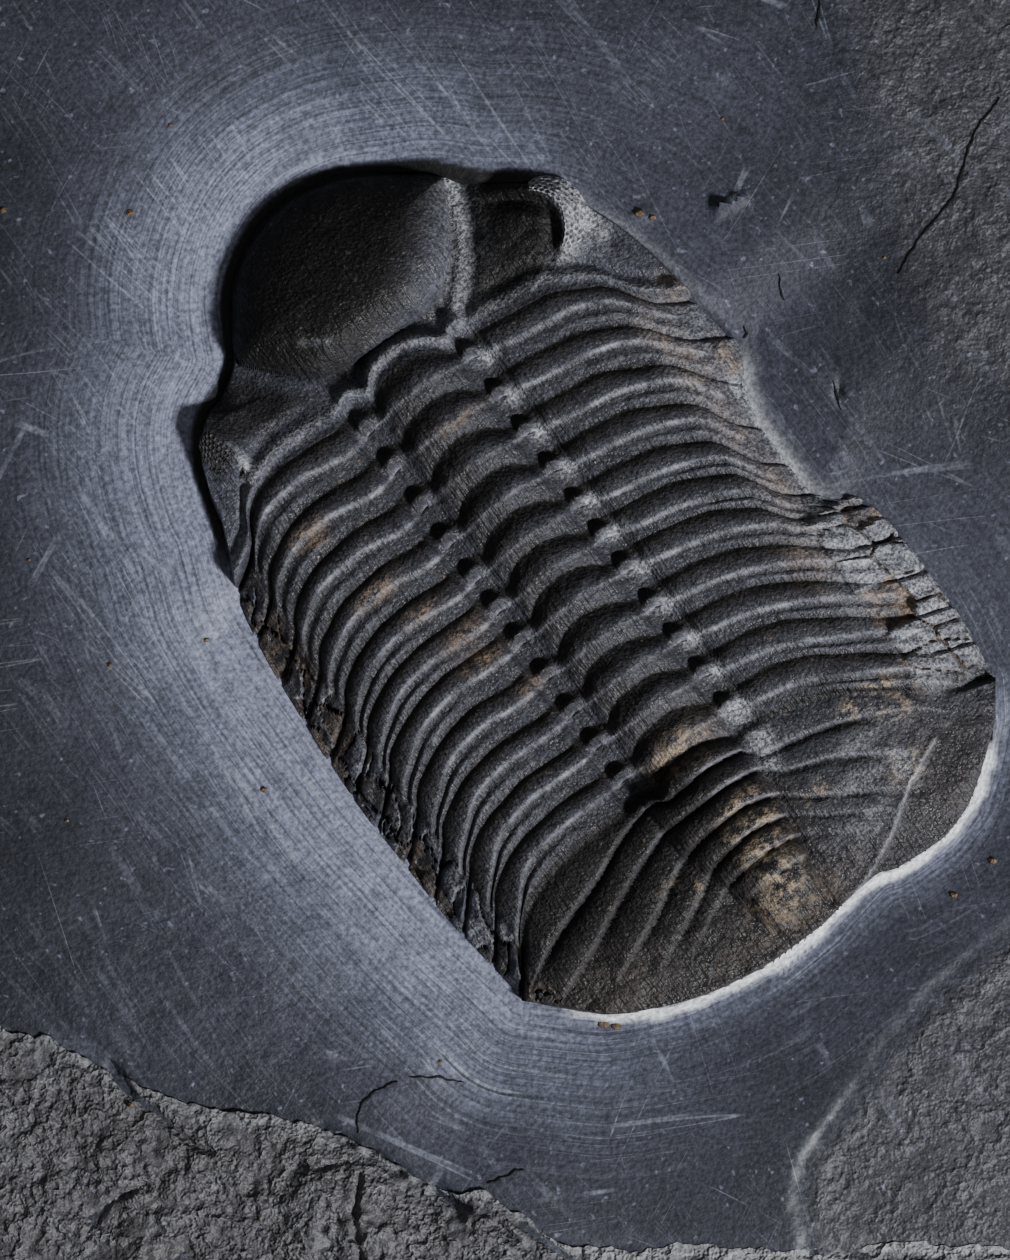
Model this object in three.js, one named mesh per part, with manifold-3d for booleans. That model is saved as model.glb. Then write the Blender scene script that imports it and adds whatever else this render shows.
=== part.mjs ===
// A phacopid trilobite lying on its belly in a broken slab of slate.
// Millimetres, +Z up. The slab rests on z = 0, the head points to the upper left (-X, +Y).
import * as THREE from 'three';
import { mergeVertices } from 'three/addons/utils/BufferGeometryUtils.js';
import Module from 'manifold-3d';

const wasm = await Module();
wasm.setup();

// Slab
const slabWidth = 104;
const slabLength = 126;
const slabTop = 15.2;
const moatFloor = 11.9;
const moatReach = 13;
const moatCurve = 1.3;
const fieldStep = 4.4;
const roughLayerTop = 16;

// Bed of the fossil in the slab
const fossilFloor = 8;
const bedGap = 0.35;
const pygidiumLedge = 13.1;

// Animal. Stations along the body (u, from the front of the head) and across it (v, positive on
// its right side as seen here) are in steps of this many millimetres.
const step = 0.084;
const headFront = new THREE.Vector2(-19.57, 37.72);
const headingX = 0.59;
const headingY = -0.807;
const bodyLevel = 14;

const segmentStations = [226, 273, 320, 365, 410, 450, 489, 534, 577, 620, 662, 704];
const columns = [
  -300, -284, -266, -246, -222, -190, -150, -115, -90, -80, -70, -60, -48, -30, -5, 20,
  38, 48, 54, 60, 68, 78, 92, 115, 150, 190, 222, 246, 266, 284, 300,
];

// Curves read as [across, value] or [along, value] pairs, joined by straight pieces.
const frontOfFirstRib = [
  [-300, 88], [-280, 78], [-255, 62], [-245, 45], [-225, 32], [-200, 22], [-175, 15], [-150, 12],
  [-130, 12], [-100, 15], [-80, 12], [-70, 8], [-58, 12], [-50, 19], [-40, 9], [-25, 2], [0, 0],
  [15, 3], [30, 10], [42, 20], [48, 22], [55, 14], [65, 17], [80, 19], [100, 21], [130, 25],
  [150, 28], [170, 36], [200, 52], [220, 66], [240, 88], [260, 104], [300, 122],
];
const frontOfLastRib = [
  [-300, 108], [-280, 88], [-255, 60], [-240, 42], [-207, 24], [-173, 14], [-140, 10], [-100, 12],
  [-80, 10], [-70, 8], [-58, 12], [-50, 17], [-40, 9], [-25, 2], [0, 0], [15, 3], [30, 9], [42, 16],
  [48, 18], [55, 12], [65, 15], [80, 19], [100, 21], [130, 28], [150, 36], [180, 56], [200, 70],
  [225, 90], [250, 108], [300, 128],
];
const rearOfFirstRib = [
  [-300, 104], [-280, 95], [-260, 79], [-250, 62], [-230, 49], [-200, 39], [-175, 36], [-150, 35],
  [-130, 39], [-100, 44], [-80, 41], [-50, 35], [0, 32], [50, 37], [70, 41], [100, 49], [150, 55],
  [175, 60], [200, 72], [220, 87], [240, 106], [260, 122], [300, 138],
];
const rearOfLastRib = [
  [-300, 128], [-280, 118], [-245, 88], [-225, 68], [-205, 48], [-180, 36], [-150, 31], [-130, 31],
  [-80, 31], [-50, 31], [0, 30], [50, 36], [70, 41], [100, 48], [130, 56], [150, 66], [180, 84],
  [225, 109], [250, 124], [300, 142],
];
const leftMargin = [
  [100, -240], [250, -248], [270, -251], [312, -275], [340, -281], [400, -290], [450, -294],
  [500, -298], [560, -300], [620, -298], [700, -295], [750, -289], [800, -283],
];
const rightMargin = [
  [100, 250], [250, 265], [330, 275], [400, 283], [430, 272], [450, 260], [500, 251], [560, 252],
  [590, 268], [600, 288], [650, 300], [700, 302], [760, 301], [830, 292],
];
const thoraxVault = [
  [-300, -2.1], [-284, -1.5], [-266, -0.8], [-246, -0.1], [-222, 0.6], [-190, 1.05], [-150, 1.25],
  [-115, 1.15], [-90, 0.95], [-80, 0.25], [-70, 0.3], [-60, 0.4], [-48, 0.9], [-30, 1.7], [-5, 2.1],
  [20, 1.85], [38, 1.1], [48, 0.5], [54, 0.4], [60, 0.35], [68, 0.25], [78, 0.6], [92, 1],
  [115, 1.15], [150, 1.25], [190, 1.05], [222, 0.6], [246, -0.1], [266, -0.8], [284, -1.5],
  [300, -2.1],
];
const tailVault = [
  [-300, -0.9], [-266, -0.3], [-222, 0.25], [-150, 0.65], [-90, 0.5], [-70, 0.1], [-48, 0.8],
  [-5, 1.7], [38, 0.8], [60, 0.1], [92, 0.5], [150, 0.65], [222, 0.25], [266, -0.3], [300, -0.9],
];

// Height of the five lines that draw one thoracic segment, from its front groove backwards:
// front foot, front brow, rear brow, rear foot, crest of the small second rib.
const ringRelief = [-0.55, 0.45, 0.55, -0.1, -0.3];
const nodeRelief = [-0.6, 0.5, 0.15, -0.15, -0.35];
const furrowRelief = [-0.55, -0.45, -0.15, -0.2, -0.45];
const innerRibRelief = [-0.45, 0.35, 0.5, -0.15, -0.2];
const outerRibRelief = [-0.45, 0.4, 0.45, -0.15, 0.15];
const tipRelief = [-0.7, 0.25, 0.25, -0.3, -0.35];

const glabellaOutline = [
  [22, 0], [24, -22], [32, -50], [46, -76], [68, -102], [98, -122], [118, -134], [128, -134],
  [150, -116], [172, -96], [190, -78], [196, -50], [196, 0], [198, 45], [190, 72], [170, 97],
  [135, 122], [97, 144], [82, 130], [66, 108], [50, 84], [33, 54], [25, 24],
];
const glabellaCentre = [118, -5];
const glabellaTop = 17.4;
const headArc = [
  [-228, 196], [-217, 176], [-200, 156], [-184, 146], [-168, 140], [-154, 134], [-138, 122],
  [-124, 98], [-104, 68], [-78, 46], [-52, 32], [-24, 23], [0, 21], [24, 24], [54, 32], [84, 49],
  [108, 65], [130, 80], [147, 96], [160, 112], [176, 128], [192, 141], [212, 160], [229, 182],
  [240, 202],
];
const headLeftSide = [[196, -228], [225, -240], [250, -246]];
const headRightSide = [[202, 240], [225, 248], [250, 259], [285, 268]];
const eyeStation = 172;
const eyeOffset = 203;
const eyeHalfLength = 46;
const eyeHalfWidth = 40;
const eyeHeight = 1.7;

const tailArc = [
  [-205, 883], [-190, 890], [-150, 908], [-100, 921], [-50, 927], [0, 927], [35, 922], [80, 918],
  [100, 925], [150, 928], [190, 918], [220, 900],
];
const tailLeftSide = [[850, -245], [870, -225], [883, -205]];
const tailRightSide = [[862, 268], [877, 250], [900, 220]];
const tailRibs = 5;
const tailRibPitch = 0.165;

function readCurve(curve, at) {
  if (at <= curve[0][0]) {
    return curve[0][1];
  }
  for (let i = 1; i < curve.length; i += 1) {
    if (at <= curve[i][0]) {
      const share = (at - curve[i - 1][0]) / (curve[i][0] - curve[i - 1][0]);
      return curve[i - 1][1] + share * (curve[i][1] - curve[i - 1][1]);
    }
  }
  return curve[curve.length - 1][1];
}

function blend(from, to, share) {
  return from + (to - from) * share;
}

function smooth(from, to, at) {
  const share = THREE.MathUtils.clamp((at - from) / (to - from), 0, 1);
  return share * share * (3 - 2 * share);
}

function bump(distance, reach) {
  return Math.exp(-(distance * distance) / (reach * reach));
}

// Point at a share of a polyline's length.
function alongPath(path, share) {
  const lengths = [0];
  for (let i = 1; i < path.length; i += 1) {
    lengths.push(lengths[i - 1] + Math.hypot(path[i][0] - path[i - 1][0], path[i][1] - path[i - 1][1]));
  }
  const target = share * lengths[lengths.length - 1];
  let i = 1;
  while (i < path.length - 1 && lengths[i] < target) {
    i += 1;
  }
  const part = (target - lengths[i - 1]) / (lengths[i] - lengths[i - 1]);
  return [blend(path[i - 1][0], path[i][0], part), blend(path[i - 1][1], path[i][1], part)];
}

function toSlab(u, v) {
  const along = u * step;
  const across = v * step;
  return new THREE.Vector2(
    headFront.x + headingX * along - headingY * across,
    headFront.y + headingY * along + headingX * across,
  );
}

// Thorax: the outer columns are squeezed so that the last one lies on the margin.
function squeeze(column, station) {
  const margin = column < 0 ? readCurve(leftMargin, station) : readCurve(rightMargin, station);
  const inner = 200;
  if (Math.abs(column) <= inner) {
    return column;
  }
  const share = (Math.abs(column) - inner) / (300 - inner);
  return Math.sign(column) * blend(inner, Math.abs(margin), share);
}

function reliefAt(column, line) {
  const side = Math.abs(column);
  if (column > -50 && column < 40) {
    return ringRelief[line];
  }
  if (column === -70 || column === 54 || column === 60) {
    return nodeRelief[line];
  }
  if (side < 85) {
    return furrowRelief[line];
  }
  if (side < 130) {
    return innerRibRelief[line];
  }
  return side < 255 ? outerRibRelief[line] : tipRelief[line];
}

function ribLine(segment, line, column) {
  const start = segmentStations[segment];
  const next = segmentStations[segment + 1];
  const bend = (first, last, at) => blend(readCurve(first, column), readCurve(last, column), at / 11);
  const front = start + bend(frontOfFirstRib, frontOfLastRib, segment);
  const rear = start + bend(rearOfFirstRib, rearOfLastRib, segment);
  const nextFront = next + bend(frontOfFirstRib, frontOfLastRib, segment + 1);
  const lines = [front - 2, front + 5, rear - 3, rear + 3, blend(rear, nextFront, 0.62)];
  return lines[line];
}

function thoraxRow(segment, line) {
  return columns.map((column) => {
    const u = ribLine(segment, line, column);
    const v = squeeze(column, u);
    const vault = readCurve(thoraxVault, column);
    return [u, v, bodyLevel + vault + reliefAt(column, line)];
  });
}

// Share of the way from the middle of the glabella to its outline.
function glabellaShare(u, v) {
  const du = u - glabellaCentre[0];
  const dv = v - glabellaCentre[1];
  let share = 0;
  glabellaOutline.forEach((a, i) => {
    const b = glabellaOutline[(i + 1) % glabellaOutline.length];
    const au = a[0] - glabellaCentre[0];
    const av = a[1] - glabellaCentre[1];
    const eu = b[0] - a[0];
    const ev = b[1] - a[1];
    const cross = du * ev - dv * eu;
    if (Math.abs(cross) > 1e-9) {
      const reach = (au * ev - av * eu) / cross;
      const place = (au * dv - av * du) / cross;
      if (reach > 0 && place >= 0 && place <= 1) {
        share = 1 / reach;
      }
    }
  });
  return share;
}

function headHeight(u, v, rearEdge) {
  const fromRear = rearEdge - u;
  const share = glabellaShare(u, v);
  const foot = blend(12.3, 14.6, smooth(60, 185, u));
  const crown = glabellaTop - 2.3 * smooth(165, 15, u);
  let height = blend(13.2, 14.4, smooth(90, 190, u));
  if (share < 1) {
    height = foot + (crown - foot) * (1 - share ** 3) ** 0.6;
  }
  const side = Math.sign(v);
  const eyeShare = Math.hypot(
    (u - eyeStation) / eyeHalfLength,
    (v - side * eyeOffset) / eyeHalfWidth,
  );
  if (eyeShare < 1) {
    height += eyeHeight * (1 - eyeShare ** 2) ** 0.7;
    height -= 0.7 * bump(Math.hypot(u - eyeStation - 8, v - side * (eyeOffset - 16)), 14);
  }
  const onAxis = 1 - smooth(45, 70, Math.abs(v + 5));
  height += onAxis * 1.3 * bump(fromRear - 18, 13);
  height += (1 - onAxis) * 0.5 * bump(fromRear - 14, 8);
  height -= (1 - onAxis) * 0.35 * bump(fromRear - 30, 8);
  return height;
}

// Four-sided patch between a front and a rear line of columns and two side paths.
function patchPoint(front, rear, left, right, share, count, index) {
  const columnShare = index / (count - 1);
  const a = front[index];
  const b = rear[index];
  const l = alongPath(left, share);
  const r = alongPath(right, share);
  return [0, 1].map((axis) => {
    const lengthwise = blend(a[axis], b[axis], share);
    const sidewise = blend(l[axis], r[axis], columnShare);
    const corners = blend(
      blend(front[0][axis], front[count - 1][axis], columnShare),
      blend(rear[0][axis], rear[count - 1][axis], columnShare),
      share,
    );
    return lengthwise + sidewise - corners;
  });
}

function spreadOver(arc) {
  const first = arc[0][0];
  const last = arc[arc.length - 1][0];
  return columns.map((column) => {
    const v = blend(first, last, (column + 300) / 600);
    return [readCurve(arc, v), v];
  });
}

function headRows() {
  const rear = thoraxRow(0, 0);
  const front = spreadOver(headArc);
  const left = [...headLeftSide, rear[0].slice(0, 2)];
  const right = [...headRightSide, rear[rear.length - 1].slice(0, 2)];
  const shares = [
    0, 0.03, 0.08, 0.15, 0.24, 0.33, 0.42, 0.51, 0.6, 0.68, 0.75, 0.81, 0.86, 0.9, 0.93, 0.96,
  ];
  return shares.map((share) => columns.map((column, index) => {
    const [u, v] = patchPoint(front, rear, left, right, share, columns.length, index);
    const edge = share === 0 || index === 0 || index === columns.length - 1;
    const fade = smooth(0.9, 1, share);
    const height = edge ? 12.2 : blend(headHeight(u, v, rear[index][0]), rear[index][2], fade * 0.6);
    return [u, v, height];
  }));
}

function tailRows() {
  const front = thoraxRow(10, 4);
  const rear = spreadOver(tailArc);
  const left = [front[0].slice(0, 2), ...tailLeftSide];
  const right = [front[front.length - 1].slice(0, 2), ...tailRightSide];
  const rows = [];
  for (let rib = 0; rib < tailRibs; rib += 1) {
    const fade = 1 - rib / (tailRibs + 0.5);
    [[0.05, -0.3], [0.08, 0.3], [0.13, 0.35], [0.165, -0.05]].forEach(([place, relief]) => {
      rows.push([place + rib * tailRibPitch, relief * fade]);
    });
  }
  rows.push([0.96, 0], [1, 0]);
  return rows.map(([share, relief]) => columns.map((column, index) => {
    const [u, v] = patchPoint(front, rear, left, right, share, columns.length, index);
    const vault = readCurve(tailVault, column) * (1 - 0.45 * share);
    const edge = share === 1 || index === 0 || index === columns.length - 1;
    const border = 1 - smooth(150, 260, Math.abs(column));
    const height = bodyLevel + vault + relief * border - 0.5 * smooth(0.75, 1, share);
    return [u, v, edge ? pygidiumLedge : height];
  }));
}

function fossilRows() {
  const rows = headRows();
  for (let segment = 0; segment < 11; segment += 1) {
    for (let line = 0; line < 5; line += 1) {
      rows.push(thoraxRow(segment, line));
    }
  }
  return [...rows, ...tailRows()];
}

function bodyFromTriangles(positions, triangles) {
  const geometry = new THREE.BufferGeometry();
  geometry.setAttribute('position', new THREE.Float32BufferAttribute(positions, 3));
  geometry.setIndex(triangles);
  return geometry;
}

// Closed body from rows of points: relief on top, upright sides and a flat floor.
function reliefBody(rows, floor) {
  const across = rows[0].length;
  const positions = [];
  const triangles = [];
  rows.forEach((row) => row.forEach((point) => positions.push(point.x, point.y, point.z)));
  const at = (r, c) => r * across + c;
  for (let r = 0; r < rows.length - 1; r += 1) {
    for (let c = 0; c < across - 1; c += 1) {
      triangles.push(at(r, c), at(r + 1, c), at(r + 1, c + 1));
      triangles.push(at(r, c), at(r + 1, c + 1), at(r, c + 1));
    }
  }
  const rim = rimOf(rows.length, across).map(([r, c]) => at(r, c));
  const start = positions.length / 3;
  rim.forEach((index) => positions.push(positions[index * 3], positions[index * 3 + 1], floor));
  const outline = rim.map((index) => new THREE.Vector2(positions[index * 3], positions[index * 3 + 1]));
  rim.forEach((index, i) => {
    const j = (i + 1) % rim.length;
    triangles.push(index, start + i, start + j);
    triangles.push(index, start + j, rim[j]);
  });
  THREE.ShapeUtils.triangulateShape(outline, []).forEach(([a, b, c]) => {
    triangles.push(start + c, start + b, start + a);
  });
  return bodyFromTriangles(positions, triangles);
}

// Rim of a grid, walked down the left side, along the last row, up the right side and back.
function rimOf(rowCount, columnCount) {
  const rim = [];
  for (let r = 0; r < rowCount; r += 1) {
    rim.push([r, 0]);
  }
  for (let c = 1; c < columnCount; c += 1) {
    rim.push([rowCount - 1, c]);
  }
  for (let r = rowCount - 2; r >= 0; r -= 1) {
    rim.push([r, columnCount - 1]);
  }
  for (let c = columnCount - 2; c > 0; c -= 1) {
    rim.push([0, c]);
  }
  return rim;
}

function widen(outline, distance) {
  return outline.map((point, i) => {
    const before = outline[(i + outline.length - 1) % outline.length];
    const after = outline[(i + 1) % outline.length];
    const run = after.clone().sub(before).normalize();
    return new THREE.Vector2(point.x + run.y * distance, point.y - run.x * distance);
  });
}

function prism(outline, low, high) {
  const shape = new THREE.Shape(outline);
  const geometry = new THREE.ExtrudeGeometry(shape, { depth: high - low, bevelEnabled: false });
  geometry.translate(0, 0, low);
  return geometry;
}

function toSolid(geometry) {
  const bare = geometry.clone();
  bare.deleteAttribute('normal');
  bare.deleteAttribute('uv');
  const merged = mergeVertices(bare, 1e-3);
  return new wasm.Manifold(new wasm.Mesh({
    numProp: 3,
    vertProperties: merged.attributes.position.array,
    triVerts: Uint32Array.from(merged.index.array),
  }));
}

function toGeometry(solid) {
  const mesh = solid.getMesh();
  return bodyFromTriangles(Array.from(mesh.vertProperties), Array.from(mesh.triVerts));
}

// The largest of a solid's bodies: crumbs left where two cuts graze each other are dropped.
function mainBody(solid) {
  const bodies = toSolid(toGeometry(solid)).decompose();
  return bodies.reduce((best, body) => (body.volume() > best.volume() ? body : best));
}

const fossilGrid = fossilRows().map((row) => row.map(([u, v, height]) => {
  const place = toSlab(u, v);
  return new THREE.Vector3(place.x, place.y, height);
}));
const fossilRim = rimOf(fossilGrid.length, columns.length).map(([r, c]) => fossilGrid[r][c]);
const fossilOutline = fossilRim.map((point) => new THREE.Vector2(point.x, point.y));

function distanceToFossil(x, y) {
  let nearest = Infinity;
  fossilOutline.forEach((a, i) => {
    const b = fossilOutline[(i + 1) % fossilOutline.length];
    const ex = b.x - a.x;
    const ey = b.y - a.y;
    const along = ((x - a.x) * ex + (y - a.y) * ey) / (ex * ex + ey * ey || 1);
    const held = THREE.MathUtils.clamp(along, 0, 1);
    nearest = Math.min(nearest, Math.hypot(x - a.x - held * ex, y - a.y - held * ey));
  });
  return nearest;
}

function slateHeight(x, y) {
  const rise = 1 - Math.exp(-((distanceToFossil(x, y) / moatReach) ** moatCurve));
  const wave = 0.12 * Math.sin(x * 0.31 + 1.3) * Math.sin(y * 0.23 + 0.4);
  return moatFloor + (slabTop - moatFloor) * rise + wave * rise;
}

function roughHeight(x, y) {
  return roughLayerTop + 0.35 * Math.sin(x * 0.52 + y * 0.21) * Math.cos(y * 0.44 - x * 0.1);
}

function heightBlock(heightAt, spacing, reach) {
  const rowCount = Math.round(reach.y * 2 / spacing);
  const columnCount = Math.round(reach.x * 2 / spacing);
  const rows = [];
  for (let r = 0; r <= rowCount; r += 1) {
    const y = blend(reach.y, -reach.y, r / rowCount);
    const row = [];
    for (let c = 0; c <= columnCount; c += 1) {
      const x = blend(-reach.x, reach.x, c / columnCount);
      row.push(new THREE.Vector3(x, y, heightAt(x, y)));
    }
    rows.push(row);
  }
  return toSolid(reliefBody(rows, -1));
}

// Broken outline of one bed of the slab, with its corners knocked off.
function slabOutline(inset, turn) {
  const points = [];
  const count = 30;
  for (let i = 0; i < count; i += 1) {
    const angle = (i / count) * Math.PI * 2;
    const across = Math.sign(Math.cos(angle)) * Math.abs(Math.cos(angle)) ** 0.3;
    const along = Math.sign(Math.sin(angle)) * Math.abs(Math.sin(angle)) ** 0.3;
    const chip = inset + 1.5 * (1 + Math.sin(i * 2.4 + turn) * Math.cos(i * 1.1 + turn * 2));
    points.push(new THREE.Vector2(across * (slabWidth / 2 - chip), along * (slabLength / 2 - chip)));
  }
  return points;
}

const beds = [
  [slabOutline(0, 0), 0, 5.4],
  [slabOutline(0.7, 2.1), 5, 10.6],
  [slabOutline(0.3, 4.4), 10.2, 22],
];

const roughLayerOutline = [
  [-70, -33], [-42.4, -33.2], [-38, -35.5], [-31.5, -37.8], [-24, -39.6], [-13, -42.8],
  [-8.8, -45.4], [-2, -47], [4.6, -51.2], [14, -53.3], [24, -52.9], [60, -51], [60, -75], [-70, -75],
].map(([x, y]) => new THREE.Vector2(x, y)).reverse();

// Scraped flank of slate that carries the rear edge of the tail shield.
function tailFlank() {
  const foot = widen(fossilOutline, 2.1);
  const lip = widen(fossilOutline, bedGap + 0.25);
  const inner = widen(fossilOutline, -1);
  const total = fossilOutline.length;
  const first = fossilGrid.length - 12;
  const last = fossilGrid.length + columns.length + 10;
  const positions = [];
  const triangles = [];
  for (let i = first; i <= last; i += 1) {
    const end = Math.min(i - first, last - i, 4) / 4;
    const lipHeight = blend(10.5, pygidiumLedge - 0.1, end);
    const k = i % total;
    positions.push(inner[k].x, inner[k].y, 10, foot[k].x, foot[k].y, 10);
    positions.push(lip[k].x, lip[k].y, lipHeight, inner[k].x, inner[k].y, lipHeight);
  }
  const sections = last - first;
  for (let i = 0; i < sections; i += 1) {
    for (let edge = 0; edge < 4; edge += 1) {
      const a = i * 4 + edge;
      const b = i * 4 + (edge + 1) % 4;
      triangles.push(a, b + 4, b, a, a + 4, b + 4);
    }
  }
  triangles.push(0, 2, 3, 0, 1, 2);
  const e = sections * 4;
  triangles.push(e, e + 2, e + 1, e, e + 3, e + 2);
  return toSolid(bodyFromTriangles(positions, triangles));
}

function slabSolid() {
  const reach = new THREE.Vector2(slabWidth / 2 + 3, slabLength / 2 + 3);
  const main = heightBlock(slateHeight, fieldStep, reach);
  const rough = heightBlock(roughHeight, 7.5, reach).intersect(toSolid(prism(roughLayerOutline, 9, 22)));
  const outline = beds
    .map(([points, low, high]) => toSolid(prism(points, low, high)))
    .reduce((sum, bed) => sum.add(bed));
  const bed = toSolid(prism(widen(fossilOutline, bedGap), fossilFloor - bedGap, 30));
  return mainBody(main.add(rough).add(tailFlank()).intersect(outline).subtract(bed));
}

const slateMaterial = new THREE.MeshStandardMaterial({ color: 0x3d4350, roughness: 0.72, metalness: 0.05 });
const fossilMaterial = new THREE.MeshStandardMaterial({ color: 0x34312f, roughness: 0.5, metalness: 0.15 });

const slab = new THREE.Mesh(toGeometry(slabSolid()), slateMaterial);
slab.name = 'slate_slab';

const trilobite = new THREE.Mesh(reliefBody(fossilGrid, fossilFloor), fossilMaterial);
trilobite.name = 'trilobite';

// The slab's box is centred on the origin.
const fossil = new THREE.Group();
fossil.add(slab, trilobite);
const box = new THREE.Box3().setFromObject(fossil);
fossil.position.set(-(box.min.x + box.max.x) / 2, -(box.min.y + box.max.y) / 2, 0);

export default fossil;
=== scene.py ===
import math
import bpy
import numpy as np
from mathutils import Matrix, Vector, noise


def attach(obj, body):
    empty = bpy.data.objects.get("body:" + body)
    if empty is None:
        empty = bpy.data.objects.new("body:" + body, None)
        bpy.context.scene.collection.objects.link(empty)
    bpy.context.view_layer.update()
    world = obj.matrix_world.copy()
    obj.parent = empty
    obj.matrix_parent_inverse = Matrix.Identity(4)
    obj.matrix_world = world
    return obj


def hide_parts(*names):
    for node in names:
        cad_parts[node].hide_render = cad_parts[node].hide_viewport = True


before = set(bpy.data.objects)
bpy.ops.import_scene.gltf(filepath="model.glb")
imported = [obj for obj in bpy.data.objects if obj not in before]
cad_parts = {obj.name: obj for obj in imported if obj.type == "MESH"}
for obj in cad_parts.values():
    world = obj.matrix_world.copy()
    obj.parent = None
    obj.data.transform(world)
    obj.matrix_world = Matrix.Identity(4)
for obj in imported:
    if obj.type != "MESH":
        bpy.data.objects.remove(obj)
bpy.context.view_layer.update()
print("stage: frame loaded")

mm = 0.001
step = 0.084  # millimetres per station along and across the animal
shift = (0.4023, 0.4959)  # the slab's box is centred on the origin
headFront = (-19.57, 37.72)
heading = (0.59, -0.807)


# small maths helpers

def toSlab(u, v):
    along, across = u * step, v * step
    x = headFront[0] + heading[0] * along - heading[1] * across
    y = headFront[1] + heading[1] * along + heading[0] * across
    return x + shift[0], y + shift[1]


def toBody(x, y):
    dx, dy = x - shift[0] - headFront[0], y - shift[1] - headFront[1]
    return (heading[0] * dx + heading[1] * dy) / step, (heading[0] * dy - heading[1] * dx) / step


def smooth(low, high, at):
    share = np.clip((at - low) / (high - low), 0, 1)
    return share * share * (3 - 2 * share)


def bump(distance, reach):
    return np.exp(-(distance / reach) ** 2)


def softCurve(pairs):
    # curve through the pairs with eased corners, read by calling it
    px = np.array([p[0] for p in pairs], float)
    py = np.array([p[1] for p in pairs], float)
    slope = np.diff(py) / np.diff(px)
    tangent = np.zeros(len(px))
    same = slope[:-1] * slope[1:] > 0
    bothSlopes = np.where(same, slope[:-1] + slope[1:], 1)
    tangent[1:-1] = np.where(same, 2 * slope[:-1] * slope[1:] / bothSlopes, 0)
    tangent[0], tangent[-1] = slope[0], slope[-1]

    def read(at):
        at = np.clip(np.asarray(at, float), px[0], px[-1])
        i = np.clip(np.searchsorted(px, at) - 1, 0, len(px) - 2)
        width = px[i + 1] - px[i]
        t = (at - px[i]) / width
        return ((2 * t ** 3 - 3 * t ** 2 + 1) * py[i]
                + (t ** 3 - 2 * t ** 2 + t) * width * tangent[i]
                + (3 * t ** 2 - 2 * t ** 3) * py[i + 1]
                + (t ** 3 - t ** 2) * width * tangent[i + 1])
    return read


def grainField(points, size, seed, octaves=4):
    # fractal noise for an (n, 3) array, about -1 to 1
    return np.array([noise.fractal(Vector((p[0] / size + seed, p[1] / size - seed,
                                           p[2] / size + seed * 0.37)),
                                   0.9, 2.1, octaves) for p in points])


def gridField(x, y, size, seed, octaves):
    # the same noise over a flat grid
    return grainField(np.stack([x.ravel(), y.ravel(), 0 * x.ravel()], 1), size, seed,
                      octaves).reshape(x.shape)


def lengthsAlong(line):
    # how far along a polyline each of its points is
    return np.concatenate([[0], np.cumsum(np.hypot(*np.diff(line, axis=0).T))])


def nearestOnLine(line, x, y, closed=False):
    # distance to a polyline and the length along it of the nearest place
    line = np.asarray(line, float)
    ends = np.roll(line, -1, axis=0) if closed else line[1:]
    starts = line if closed else line[:-1]
    lengths = np.hypot(*(ends - starts).T)
    before = np.concatenate([[0], np.cumsum(lengths)])
    best = np.full(x.shape, 1e9)
    along = np.zeros(x.shape)
    for k, (a, b) in enumerate(zip(starts, ends)):
        ex, ey = b - a
        held = np.clip(((x - a[0]) * ex + (y - a[1]) * ey) / max(ex * ex + ey * ey, 1e-12), 0, 1)
        gap = np.hypot(x - a[0] - held * ex, y - a[1] - held * ey)
        closer = gap < best
        best = np.where(closer, gap, best)
        along = np.where(closer, before[k] + held * lengths[k], along)
    return best, along


def insideOutline(outline, x, y):
    inside = np.zeros(x.shape, bool)
    for (x0, y0), (x1, y1) in zip(outline, np.roll(outline, -1, axis=0)):
        crosses = (y0 > y) != (y1 > y)
        at = (x1 - x0) * (y - y0) / np.where(y1 == y0, 1e-12, y1 - y0) + x0
        inside ^= crosses & (x < at)
    return inside


def brokenCells(u, v, sizeU, sizeV, seed):
    # jittered cells: how far from a cell's edge, its own number from 0 to 1,
    # and the way from its middle
    i, j = np.floor(u / sizeU), np.floor(v / sizeV)
    nearest, second = np.full(u.shape, 9.0), np.full(u.shape, 9.0)
    value, alongU, alongV = np.zeros(u.shape), np.zeros(u.shape), np.zeros(u.shape)
    for di in (-1, 0, 1):
        for dj in (-1, 0, 1):
            a, b = i + di, j + dj
            r1 = np.mod(np.sin(a * 12.9898 + b * 78.233 + seed) * 43758.5453, 1)
            r2 = np.mod(np.sin(a * 39.3467 + b * 11.135 + seed) * 24634.6345, 1)
            r3 = np.mod(np.sin(a * 73.156 + b * 52.235 + seed) * 17453.2543, 1)
            du, dv = u / sizeU - (a + 0.15 + 0.7 * r1), v / sizeV - (b + 0.15 + 0.7 * r2)
            gap = np.hypot(du, dv)
            closer = gap < nearest
            second = np.where(closer, nearest, np.minimum(second, gap))
            value = np.where(closer, r3, value)
            alongU = np.where(closer, du, alongU)
            alongV = np.where(closer, dv, alongV)
            nearest = np.where(closer, gap, nearest)
    return second - nearest, value, alongU, alongV


# modelling helpers

def deselectAll():
    if bpy.context.object and bpy.context.object.mode != "OBJECT":
        bpy.ops.object.mode_set(mode="OBJECT")
    bpy.ops.object.select_all(action="DESELECT")


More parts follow.
